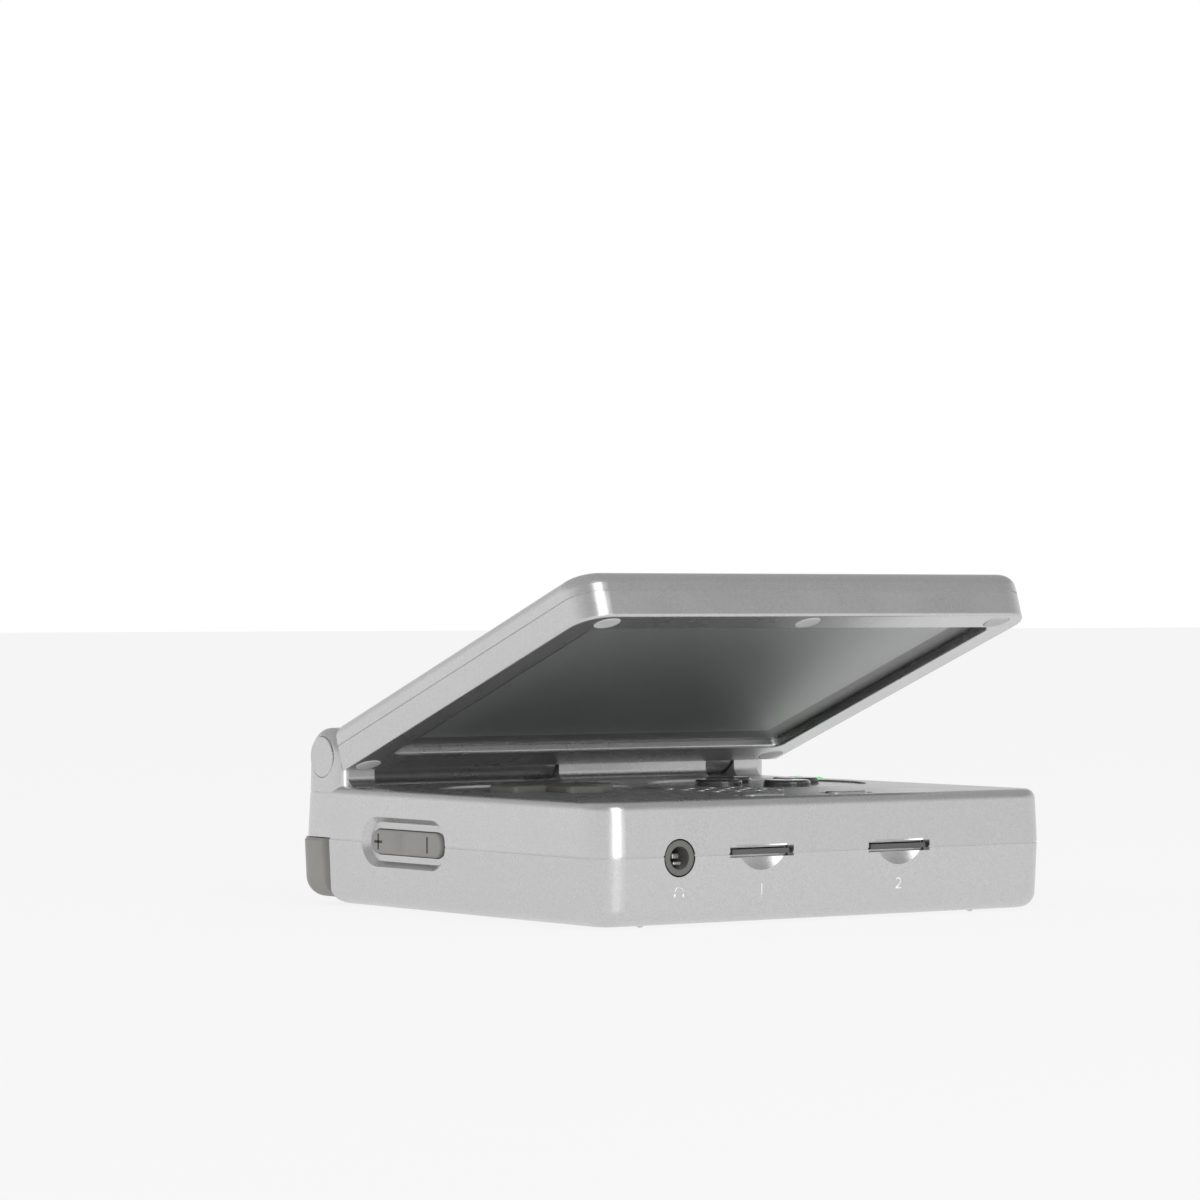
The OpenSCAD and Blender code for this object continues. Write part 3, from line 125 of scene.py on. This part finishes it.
def buildFloor():
    bm = bmesh.new()
    bmesh.ops.create_grid(bm, x_segments=1, y_segments=1, size=floorPaper["reach"])
    mesh = bpy.data.meshes.new("floor")
    bm.to_mesh(mesh)
    bm.free()
    floor = bpy.data.objects.new("floor", mesh)
    bpy.context.scene.collection.objects.link(floor)
    material = bpy.data.materials.new("floorPaper")
    material.use_nodes = True
    tree = material.node_tree
    tree.nodes.clear()
    out = tree.nodes.new("ShaderNodeOutputMaterial")
    path = tree.nodes.new("ShaderNodeLightPath")
    paper = tree.nodes.new("ShaderNodeBsdfDiffuse")
    paper.inputs["Color"].default_value = (*[floorPaper["grey"]] * 3, 1)
    white = tree.nodes.new("ShaderNodeEmission")
    white.inputs["Color"].default_value = (1, 1, 1, 1)
    # no white at all in the light that the paper throws back on the console
    plain = tree.nodes.new("ShaderNodeMath")
    plain.operation = "MULTIPLY_ADD"
    plain.inputs[1].default_value = -floorPaper["mirroredWhite"]
    plain.inputs[2].default_value = floorPaper["mirroredWhite"]
    share = tree.nodes.new("ShaderNodeMath")
    share.operation = "MULTIPLY_ADD"
    share.inputs[1].default_value = floorPaper["seenWhite"] - floorPaper["mirroredWhite"]
    mix = tree.nodes.new("ShaderNodeMixShader")
    link = tree.links.new
    link(path.outputs["Is Diffuse Ray"], plain.inputs[0])
    link(path.outputs["Is Camera Ray"], share.inputs[0])
    link(plain.outputs[0], share.inputs[2])
    link(share.outputs[0], mix.inputs["Fac"])
    link(paper.outputs[0], mix.inputs[1])
    link(white.outputs[0], mix.inputs[2])
    link(mix.outputs[0], out.inputs["Surface"])
    mesh.materials.append(material)


# finishes: sizes and heights in millimetres
def newFinish(name, spec):
    material = bpy.data.materials.new(name)
    material.use_nodes = True
    tree = material.node_tree
    shader = tree.nodes["Principled BSDF"]
    shader.inputs["Base Color"].default_value = (*spec["color"], 1)
    shader.inputs["Metallic"].default_value = spec.get("metal", 0.0)
    shader.inputs["Roughness"].default_value = spec["rough"]
    shader.inputs["Coat Weight"].default_value = spec.get("coat", 0.0)
    shader.inputs["Coat Roughness"].default_value = spec.get("coatRough", 0.1)
    shader.inputs["Coat IOR"].default_value = spec.get("coatIor", 1.5)
    shader.inputs["Transmission Weight"].default_value = spec.get("clear", 0.0)
    shader.inputs["IOR"].default_value = spec.get("ior", 1.5)
    if "glow" in spec:
        shader.inputs["Emission Color"].default_value = (*spec["glow"], 1)
        shader.inputs["Emission Strength"].default_value = spec["glowPower"]
    coord = tree.nodes.new("ShaderNodeTexCoord")
    return material, tree, shader, coord.outputs["Object"]


def noiseNode(tree, coord, size, detail):
    noise = tree.nodes.new("ShaderNodeTexNoise")
    noise.inputs["Scale"].default_value = 1.0 / (size * mm)
    noise.inputs["Detail"].default_value = detail
    tree.links.new(coord, noise.inputs["Vector"])
    return noise


def rangeNode(tree, value, low, high, span=(0.0, 1.0)):
    node = tree.nodes.new("ShaderNodeMapRange")
    node.inputs["From Min"].default_value = span[0]
    node.inputs["From Max"].default_value = span[1]
    node.inputs["To Min"].default_value = low
    node.inputs["To Max"].default_value = high
    tree.links.new(value, node.inputs["Value"])
    return node.outputs["Result"]


def tint(tree, shader, color, factor):
    mix = tree.nodes.new("ShaderNodeMix")
    mix.data_type = "RGBA"
    mix.blend_type = "MULTIPLY"
    mix.inputs["Factor"].default_value = 1.0
    # colour sockets: 6 and 7 in, 2 out
    mix.inputs[6].default_value = (*color, 1)
    tree.links.new(factor, mix.inputs[7])
    tree.links.new(mix.outputs[2], shader.inputs["Base Color"])


def bumpNode(tree, shader, value, height):
    bump = tree.nodes.new("ShaderNodeBump")
    bump.inputs["Strength"].default_value = 1.0
    bump.inputs["Distance"].default_value = height * mm
    tree.links.new(value, bump.inputs["Height"])
    tree.links.new(bump.outputs["Normal"], shader.inputs["Normal"])


noiseSpan = (0.3, 0.7)  # where most of a noise's values lie
paintPattern = {"cloud": 9.0, "cloudDetail": 3.0, "gloss": 0.03, "peelDetail": 2.0}


def paintFinish(name, spec):
    # sprayed plastic: fine metal flakes, a slight orange peel and uneven gloss
    material, tree, shader, coord = newFinish(name, spec)
    flakes = tree.nodes.new("ShaderNodeTexVoronoi")
    flakes.inputs["Scale"].default_value = 1.0 / (spec["flake"] * mm)
    tree.links.new(coord, flakes.inputs["Vector"])
    grey = tree.nodes.new("ShaderNodeSeparateColor")
    tree.links.new(flakes.outputs["Color"], grey.inputs["Color"])
    shade = rangeNode(tree, grey.outputs["Red"], 1.0 - spec["sparkle"], 1.0 + spec["sparkle"])
    tint(tree, shader, spec["color"], shade)
    cloud = noiseNode(tree, coord, paintPattern["cloud"], paintPattern["cloudDetail"])
    low, high = spec["rough"] - paintPattern["gloss"], spec["rough"] + paintPattern["gloss"]
    tree.links.new(rangeNode(tree, cloud.outputs["Fac"], low, high, noiseSpan), shader.inputs["Roughness"])
    peel = noiseNode(tree, coord, spec["peel"], paintPattern["peelDetail"])
    bumpNode(tree, shader, peel.outputs["Fac"], spec["peelHeight"])
    return material


mouldPattern = {
    "cloud": 6.0, "cloudDetail": 3.0, "shade": (0.94, 1.06), "gloss": 0.05,
    "grain": 0.25, "grainDetail": 2.0, "grainHeight": 0.008,
}


def mouldedFinish(name, spec):
    # moulded plastic or rubber: spark-eroded grain and a faint change of shade
    material, tree, shader, coord = newFinish(name, spec)
    cloud = noiseNode(tree, coord, mouldPattern["cloud"], mouldPattern["cloudDetail"])
    shade = rangeNode(tree, cloud.outputs["Fac"], *mouldPattern["shade"], noiseSpan)
    tint(tree, shader, spec["color"], shade)
    size = spec.get("grain", mouldPattern["grain"])
    grain = noiseNode(tree, coord, size, mouldPattern["grainDetail"])
    low, high = spec["rough"] - mouldPattern["gloss"], spec["rough"] + mouldPattern["gloss"]
    tree.links.new(rangeNode(tree, grain.outputs["Fac"], low, high, noiseSpan), shader.inputs["Roughness"])
    bumpNode(tree, shader, grain.outputs["Fac"], spec.get("grainHeight", mouldPattern["grainHeight"]))
    return material


metalPattern = {
    "stretch": (0.06, 1.0, 1.0), "streak": 0.12, "streakDetail": 3.0, "streakHeight": 0.004,
    "shade": (0.9, 1.08), "smoother": 0.08, "rougher": 0.1,
}


def metalFinish(name, spec):
    # drawn steel: streaks along one axis
    material, tree, shader, coord = newFinish(name, spec)
    stretch = tree.nodes.new("ShaderNodeMapping")
    stretch.inputs["Scale"].default_value = metalPattern["stretch"]
    tree.links.new(coord, stretch.inputs["Vector"])
    streaks = noiseNode(tree, stretch.outputs["Vector"], metalPattern["streak"], metalPattern["streakDetail"])
    low, high = spec["rough"] - metalPattern["smoother"], spec["rough"] + metalPattern["rougher"]
    tree.links.new(rangeNode(tree, streaks.outputs["Fac"], low, high, noiseSpan), shader.inputs["Roughness"])
    shade = rangeNode(tree, streaks.outputs["Fac"], *metalPattern["shade"], noiseSpan)
    tint(tree, shader, spec["color"], shade)
    bumpNode(tree, shader, streaks.outputs["Fac"], metalPattern["streakHeight"])
    return material


smearPattern = {"size": 14.0, "detail": 4.0, "span": (0.35, 0.75), "smoother": 0.02, "rougher": 0.05}


def glassFinish(name, spec):
    # clear glass under a satin film, with a trace of smears in its gloss
    material, tree, shader, coord = newFinish(name, spec)
    smear = noiseNode(tree, coord, smearPattern["size"], smearPattern["detail"])
    low, high = spec["rough"] - smearPattern["smoother"], spec["rough"] + smearPattern["rougher"]
    gloss = rangeNode(tree, smear.outputs["Fac"], low, high, smearPattern["span"])
    tree.links.new(gloss, shader.inputs["Roughness"])
    return material


cellPattern = {"gap": 0.06, "gapShade": 0.82, "otherShade": 1.03}


def cellFinish(name, spec):
    # switched-off display: the faint grid of its cells
    material, tree, shader, coord = newFinish(name, spec)
    grid = tree.nodes.new("ShaderNodeTexBrick")
    grid.offset = 0.0
    grid.inputs["Scale"].default_value = 1.0 / (spec["cell"] * mm)
    grid.inputs["Brick Width"].default_value = 1.0
    grid.inputs["Row Height"].default_value = 1.0
    grid.inputs["Mortar Size"].default_value = cellPattern["gap"]
    grid.inputs["Color1"].default_value = (*spec["color"], 1)
    grid.inputs["Color2"].default_value = (*[c * cellPattern["otherShade"] for c in spec["color"]], 1)
    grid.inputs["Mortar"].default_value = (*[c * cellPattern["gapShade"] for c in spec["color"]], 1)
    tree.links.new(coord, grid.inputs["Vector"])
    tree.links.new(grid.outputs["Color"], shader.inputs["Base Color"])
    return material


finishSpecs = {
    "silverPaint": (paintFinish, {
        "color": (0.6, 0.6, 0.602), "metal": 0.9, "rough": 0.28,
        "flake": 0.22, "sparkle": 0.05, "peel": 0.5, "peelHeight": 0.0008,
    }),
    "warmGreyPlastic": (mouldedFinish, {
        "color": (0.40, 0.391, 0.372), "rough": 0.45, "grain": 0.2, "grainHeight": 0.004,
    }),
    "darkWarmPlastic": (mouldedFinish, {
        "color": (0.15, 0.147, 0.14), "rough": 0.4, "grain": 0.2, "grainHeight": 0.004,
    }),
    "darkGloss": (mouldedFinish, {
        "color": (0.05, 0.05, 0.052), "rough": 0.2, "grain": 0.6, "grainHeight": 0.002,
        "coat": 0.6, "coatRough": 0.08,
    }),
    "padRubber": (mouldedFinish, {"color": (0.86, 0.86, 0.86), "rough": 0.6, "grain": 0.15}),
    "keyRubber": (mouldedFinish, {"color": (0.30, 0.30, 0.31), "rough": 0.7}),
    "coverGlass": (glassFinish, {
        "color": (0.95, 0.96, 0.96), "rough": 0.04, "clear": 1.0, "ior": 1.02,
        "coat": 1.0, "coatRough": 0.42, "coatIor": 2.1,
    }),
    "drawnSteel": (metalFinish, {"color": (0.62, 0.62, 0.61), "metal": 1.0, "rough": 0.3}),
    "boardGreen": (mouldedFinish, {
        "color": (0.03, 0.16, 0.07), "rough": 0.35, "grain": 0.5, "coat": 0.4,
    }),
    "cellWrap": (mouldedFinish, {"color": (0.05, 0.08, 0.20), "rough": 0.35, "grain": 0.8}),
    "blackPlastic": (mouldedFinish, {"color": (0.035, 0.035, 0.037), "rough": 0.45}),
    "cardPlastic": (mouldedFinish, {"color": (0.115, 0.115, 0.118), "rough": 0.5, "grain": 0.12}),
    "socketGrey": (mouldedFinish, {"color": (0.17, 0.168, 0.158), "rough": 0.5, "grain": 0.2}),
    "greenLight": (mouldedFinish, {
        "color": (0.05, 0.45, 0.07), "rough": 0.25, "glow": (0.05, 0.65, 0.08), "glowPower": 1.2,
    }),
    "ribbonAmber": (mouldedFinish, {"color": (0.55, 0.24, 0.04), "rough": 0.35, "grain": 0.4}),
    "printBlack": (mouldedFinish, {"color": (0.012, 0.012, 0.013), "rough": 0.35}),
    "markInk": (mouldedFinish, {"color": (0.05, 0.05, 0.05), "rough": 0.5, "grain": 0.15}),
    # painted reflection: the cells' grey is lighter than an unlit screen, standing in for the console's top
    # seen mirrored in the glass
    "displayPaintedReflection": (cellFinish, {"color": (0.3, 0.3, 0.303), "rough": 0.45, "cell": 0.11}),
    "springSteel": (metalFinish, {"color": (0.75, 0.74, 0.72), "metal": 0.6, "rough": 0.35}),
    # painted highlight: near-white polished metal for the speaker-hole glints and the raised marks on the
    # base's front
    "paintedGlintWhite": (metalFinish, {"color": (0.92, 0.92, 0.92), "metal": 0.9, "rough": 0.2}),
}
finishes = {name: make(name, spec) for name, (make, spec) in finishSpecs.items()}
print("finishes made")

nodeFinish = {
    "silverPaint": [
        "bottom_shell", "top_shell", "hinge_housing", "lid_bezel", "lid_cover",
        "hinge_cap_left", "hinge_cap_right", "select_button", "start_button",
    ],
    "darkWarmPlastic": ["dpad"],
    "warmGreyPlastic": [
        "volume_key", "power_button", "reset_button", "shoulder_left_outer",
        "shoulder_left_inner", "shoulder_right_inner", "shoulder_right_outer",
    ],
    "darkGloss": ["button_1", "button_2", "button_3", "button_4"],
    "padRubber": ["lid_pads"],
    "keyRubber": ["dpad_membrane", "button_membrane", "pill_membrane"],
    "coverGlass": ["screen_glass"],
    "drawnSteel": [
        "case_screws", "processor_shield", "card_socket_1", "card_socket_2", "usb_socket",
        "video_socket", "volume_switches", "shoulder_switches", "power_switches", "shoulder_pins",
        "hinge_pin_left", "hinge_pin_middle", "hinge_pin_right", "hinge_clutch", "clutch_shaft",
        "dpad_ball", "lid_screws", "lid_magnet",
    ],
    "boardGreen": ["main_board"],
    "cellWrap": ["battery"],
    "blackPlastic": ["speaker", "speaker_mesh", "display_panel"],
    "cardPlastic": ["memory_card_1", "memory_card_2"],
    "socketGrey": ["headphone_socket"],
    "greenLight": ["light_windows"],
    "ribbonAmber": ["display_ribbon"],
}


def dressNodes():
    for finish, names in nodeFinish.items():
        for name in names:
            mesh = nodes[name].data
            mesh.materials.clear()
            mesh.materials.append(finishes[finish])


def addPiece(name, bm, finish, body, place=None, smooth=True):
    if place is not None:
        bmesh.ops.transform(bm, matrix=place, verts=bm.verts)
    bmesh.ops.recalc_face_normals(bm, faces=bm.faces)
    mesh = bpy.data.meshes.new(name)
    for face in bm.faces:
        face.smooth = smooth
    bm.to_mesh(mesh)
    bm.free()
    mesh.materials.append(finishes[finish])
    piece = bpy.data.objects.new(name, mesh)
    bpy.context.scene.collection.objects.link(piece)
    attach(piece, body)


hinge = {"y": 35.8, "z": 24.24, "opened": 20.25}


def lidPlace(x, v, w):
    # a point of the lid: v forward of the hinge axis, w above it when shut
    axis = Matrix.Translation((0, hinge["y"] * mm, hinge["z"] * mm))
    turned = axis @ Matrix.Rotation(math.radians(-hinge["opened"]), 4, "X")
    return turned @ Matrix.Translation((x * mm, -v * mm, w * mm))


# painted highlight: a near-white wire ring round the mouth of each speaker hole, standing in for the glint on
# its edge
speakerGlintRim = {
    "center": (0.0, -15.0), "holes": 4, "pitch": 4.15, "radius": 0.62, "top": 19.55,
    "wire": 0.075, "wireSides": 8, "steps": 20, "weld": 0.001,
}


def buildSpeakerGlintRims(s):
    bm = bmesh.new()
    half = (s["holes"] - 1) * s["pitch"] / 2
    turn = Matrix.Rotation(math.pi / 2, 4, "X")
    for i in range(s["holes"]):
        for j in range(s["holes"]):
            cx = s["center"][0] + i * s["pitch"] - half
            cy = s["center"][1] + j * s["pitch"] - half
            ring = bmesh.ops.create_circle(bm, segments=s["wireSides"], radius=s["wire"] * mm)["verts"]
            move = Matrix.Translation(((cx + s["radius"]) * mm, cy * mm, s["top"] * mm))
            bmesh.ops.transform(bm, matrix=move @ turn, verts=ring)
            edges = list({e for v in ring for e in v.link_edges})
            bmesh.ops.spin(bm, geom=ring + edges, cent=(cx * mm, cy * mm, s["top"] * mm),
                           axis=(0, 0, 1), angle=2 * math.pi, steps=s["steps"], use_merge=True)
    bmesh.ops.remove_doubles(bm, verts=bm.verts, dist=s["weld"] * mm)
    addPiece("speakerGlintRims", bm, "paintedGlintWhite", "base")


screenPrint = {"window": (80.4, 60.9), "clear": (71.1, 53.3), "middle": 42.95, "w": -2.21, "thick": 0.015}


def buildScreenPrint(s):
    # black frame printed on the back of the glass
    bm = bmesh.new()
    wide, long = s["window"]
    border = wide - s["clear"][0]
    verts = bmesh.ops.create_grid(bm, x_segments=1, y_segments=1, size=0.5)["verts"]
    bmesh.ops.scale(bm, vec=(wide * mm, long * mm, 1), verts=verts)
    face = bm.faces[:]
    bmesh.ops.inset_region(bm, faces=face, thickness=border / 2 * mm, use_boundary=True, use_even_offset=True)
    bmesh.ops.delete(bm, geom=face, context="FACES_ONLY")
    inner = [v for v in bm.verts if abs(v.co.x) < (wide - border / 2) / 2 * mm]
    bmesh.ops.scale(bm, vec=(1, s["clear"][1] / (long - border), 1), verts=inner)
    bmesh.ops.solidify(bm, geom=bm.faces[:], thickness=s["thick"] * mm)
    place = lidPlace(0, s["middle"], s["w"])
    addPiece("screenPrint", bm, "printBlack", "lid", place, smooth=False)


# grey sheet of display cells under the glass, lighter than an unlit screen as painted reflection
displayCell = {"size": (71.4, 53.6), "middle": 42.95, "w": -2.18, "thick": 0.01}


def buildDisplayCells(s):
    bm = bmesh.new()
    verts = bmesh.ops.create_cube(bm, size=1.0)["verts"]
    bmesh.ops.scale(bm, vec=(s["size"][0] * mm, s["size"][1] * mm, s["thick"] * mm), verts=verts)
    place = lidPlace(0, s["middle"], s["w"])
    addPiece("displayPaintedReflection", bm, "displayPaintedReflection", "lid", place, smooth=False)


volumeMark = {
    "face": -43.95, "z": 11.1, "plusY": 19.0, "minusY": 4.8,
    "tall": 2.6, "wide": 2.3, "stroke": 0.42, "proud": 0.02,
}


def buildVolumeMarks(s):
    bm = bmesh.new()
    bars = [
        (s["plusY"], s["stroke"], s["tall"]),
        (s["plusY"], s["wide"], s["stroke"]),
        (s["minusY"], s["stroke"], s["tall"]),
    ]
    for y, wide, tall in bars:
        verts = bmesh.ops.create_cube(bm, size=1.0)["verts"]
        bmesh.ops.scale(bm, vec=(2 * s["proud"] * mm, wide * mm, tall * mm), verts=verts)
        bmesh.ops.translate(bm, vec=(s["face"] * mm, y * mm, s["z"] * mm), verts=verts)
    addPiece("volumeMarks", bm, "markInk", "volume_rocker", smooth=False)


jackSpring = {
    "x": -29.5, "z": 10.74, "front": -42.5, "reach": 1.7, "long": 0.9, "round": 0.15,
    "leaves": [
        {"tip": 0.4, "depth": 2.7, "rise": 0.15, "tall": 0.8},
        {"tip": 0.1, "depth": 2.0, "rise": -0.95, "tall": 0.5},
    ],
}


def buildJackSprings(s):
    # leaf contacts that bend in from the bore's wall, seen past its mouth
    bm = bmesh.new()
    for leaf in s["leaves"]:
        wide = s["reach"] - leaf["tip"]
        x, y, z = s["x"] + leaf["tip"] + wide / 2, s["front"] + leaf["depth"], s["z"] + leaf["rise"]
        verts = bmesh.ops.create_cube(bm, size=1.0)["verts"]
        bmesh.ops.scale(bm, vec=(wide * mm, s["long"] * mm, leaf["tall"] * mm), verts=verts)
        bmesh.ops.translate(bm, vec=(x * mm, y * mm, z * mm), verts=verts)
    bmesh.ops.bevel(bm, geom=bm.edges[:], offset=s["round"] * mm, segments=2, profile=0.5,
                    affect="EDGES", material=-1)
    addPiece("jackSprings", bm, "springSteel", "base", smooth=False)


numberWeld = 0.002


def numberPiece(name, number, height, depth, place, finish, body):
    curve = bpy.data.curves.new(name, "FONT")
    curve.body = number
    curve.size = height * mm
    curve.extrude = depth * mm
    curve.resolution_u = 3
    curve.align_x = "CENTER"
    curve.align_y = "CENTER"
    draft = bpy.data.objects.new(name + "Draft", curve)
    bpy.context.scene.collection.objects.link(draft)
    mesh = bpy.data.meshes.new_from_object(draft)
    bpy.data.objects.remove(draft)
    bm = bmesh.new()
    bm.from_mesh(mesh)
    bmesh.ops.remove_doubles(bm, verts=bm.verts, dist=numberWeld * mm)
    addPiece(name, bm, finish, body, place, smooth=False)


frontDraft = 2.6
slotNumber = {"xs": {"1": -13.77, "2": 13.37}, "y": -42.587, "z": 5.4, "height": 2.6, "depth": 0.1}
keyNumber = {
    "center": (20.8, 3.5), "ring": 8.05, "top": 20.35, "height": 3.6, "depth": 0.015,
    "ways": {"1": (0, 1), "2": (1, 0), "3": (0, -1), "4": (-1, 0)},
}


def frontPlace(x, y, z):
    # on the drafted front face of the base, upright and facing out
    lean = Matrix.Rotation(math.radians(90 + frontDraft), 4, "X")
    return Matrix.Translation((x * mm, y * mm, z * mm)) @ lean


# raised numbers under the card slots; their near-white finish is a painted highlight along their edges
def buildSlotNumbers(s):
    for number, x in s["xs"].items():
        numberPiece("slotNumber" + number, number, s["height"], s["depth"], frontPlace(x, s["y"], s["z"]),
                    "paintedGlintWhite", "base")


def buildKeyNumbers(s):
    for number, (dx, dy) in s["ways"].items():
        x, y = s["center"][0] + dx * s["ring"], s["center"][1] + dy * s["ring"]
        place = Matrix.Translation((x * mm, y * mm, s["top"] * mm))
        numberPiece("keyNumber" + number, number, s["height"], s["depth"], place,
                    "socketGrey", "face_button_" + number)


headphoneMark = {
    "x": -29.5, "y": -42.59, "z": 5.5, "arc": 0.8, "wire": 0.09, "wireSides": 8, "steps": 16,
    "bud": 0.24, "budStretch": (1, 1.6, 0.6), "budDrop": 0.45,
}


def buildHeadphoneMark(s):
    # a band over two ear cushions, raised, in a near-white finish that paints its highlight
    bm = bmesh.new()
    ring = bmesh.ops.create_circle(bm, segments=s["wireSides"], radius=s["wire"] * mm)["verts"]
    edges = list({e for v in ring for e in v.link_edges})
    turn = Matrix.Translation((s["arc"] * mm, 0, 0)) @ Matrix.Rotation(math.pi / 2, 4, "X")
    bmesh.ops.transform(bm, matrix=turn, verts=ring)
    bmesh.ops.spin(bm, geom=ring + edges, cent=(0, 0, 0), axis=(0, 0, 1), angle=math.pi, steps=s["steps"])
    bmesh.ops.holes_fill(bm, edges=bm.edges[:])
    for side in (-1, 1):
        bud = bmesh.ops.create_uvsphere(bm, u_segments=10, v_segments=6, radius=s["bud"] * mm)["verts"]
        bmesh.ops.scale(bm, vec=s["budStretch"], verts=bud)
        bmesh.ops.translate(bm, vec=(side * s["arc"] * mm, -s["budDrop"] * mm, 0), verts=bud)
    place = frontPlace(s["x"], s["y"], s["z"])
    addPiece("headphoneMark", bm, "paintedGlintWhite", "base", place)


lightLens = {"x": 42.75, "ys": (14.93, 20.28), "top": 19.52, "size": (1.5, 1.9, 0.5)}


def buildLightLenses(s):
    # low domes of green plastic over the indicator windows
    bm = bmesh.new()
    for y in s["ys"]:
        verts = bmesh.ops.create_uvsphere(bm, u_segments=24, v_segments=12, radius=0.5)["verts"]
        bmesh.ops.scale(bm, vec=[v * mm for v in s["size"]], verts=verts)
        bmesh.ops.translate(bm, vec=(s["x"] * mm, y * mm, s["top"] * mm), verts=verts)
    addPiece("lightLenses", bm, "greenLight", "base")


# span and draft are in degrees; the foot is the circle that rounds the lower edge
shoulderCorner = {
    "axis": (39.5, 38.95), "foot": (1.308, 4.64), "footRadius": 3.39, "footSteps": 8, "draft": 2.6,
    "low": 2.6, "high": 9.4, "span": (22, 68), "spanSteps": 14, "wall": 0.6,
    "sides": [
        ("shoulderCornerLeft", "left_outer_shoulder", -1),
        ("shoulderCornerRight", "right_outer_shoulder", 1),
    ],
}


def buildShoulderCorners(s):
    # round wall across the rear corner of each outer shoulder button
    footX, footZ = s["foot"]
    low = math.asin((s["low"] - footZ) / s["footRadius"])
    lean = math.radians(-s["draft"])
    startX = footX + s["footRadius"] * math.cos(low)
    startZ = footZ + s["footRadius"] * math.sin(low)
    first, last = (math.radians(a) for a in s["span"])
    for name, body, side in s["sides"]:
        bm = bmesh.new()
        start = bm.verts.new((startX * mm, 0, startZ * mm))
        arc = bmesh.ops.spin(bm, geom=[start], cent=(footX * mm, 0, footZ * mm), axis=(0, 1, 0),
                             angle=low - lean, steps=s["footSteps"])["geom_last"]
        ends = [v for v in arc if isinstance(v, bmesh.types.BMVert)]
        tip = bmesh.ops.extrude_vert_indiv(bm, verts=ends)["verts"]
        rise = s["high"] * mm - tip[0].co.z
        bmesh.ops.translate(bm, vec=(rise * math.tan(math.radians(s["draft"])), 0, rise), verts=tip)
        bmesh.ops.transform(bm, matrix=Matrix.Rotation(first, 4, "Z"), verts=bm.verts)
        bmesh.ops.spin(bm, geom=bm.verts[:] + bm.edges[:], cent=(0, 0, 0), axis=(0, 0, 1),
                       angle=last - first, steps=s["spanSteps"])
        for face in bm.faces:
            middle = face.calc_center_median()
            if face.normal.x * middle.x + face.normal.y * middle.y < 0:
                face.normal_flip()
        bmesh.ops.solidify(bm, geom=bm.faces[:], thickness=s["wall"] * mm)
        axis = Matrix.Translation((s["axis"][0] * mm, s["axis"][1] * mm, 0))
        place = Matrix.Diagonal((side, 1, 1, 1)) @ axis
        addPiece(name, bm, "warmGreyPlastic", body, place)


bpy.context.scene.view_settings.view_transform = "Standard"
buildCamera()
buildSoftbox()
buildSurround()
buildFloor()
print("studio built")
dressNodes()
print("CAD nodes dressed")
buildSpeakerGlintRims(speakerGlintRim)
buildScreenPrint(screenPrint)
buildDisplayCells(displayCell)
buildVolumeMarks(volumeMark)
buildJackSprings(jackSpring)
buildSlotNumbers(slotNumber)
buildKeyNumbers(keyNumber)
buildHeadphoneMark(headphoneMark)
buildLightLenses(lightLens)
buildShoulderCorners(shoulderCorner)
print("small pieces built")
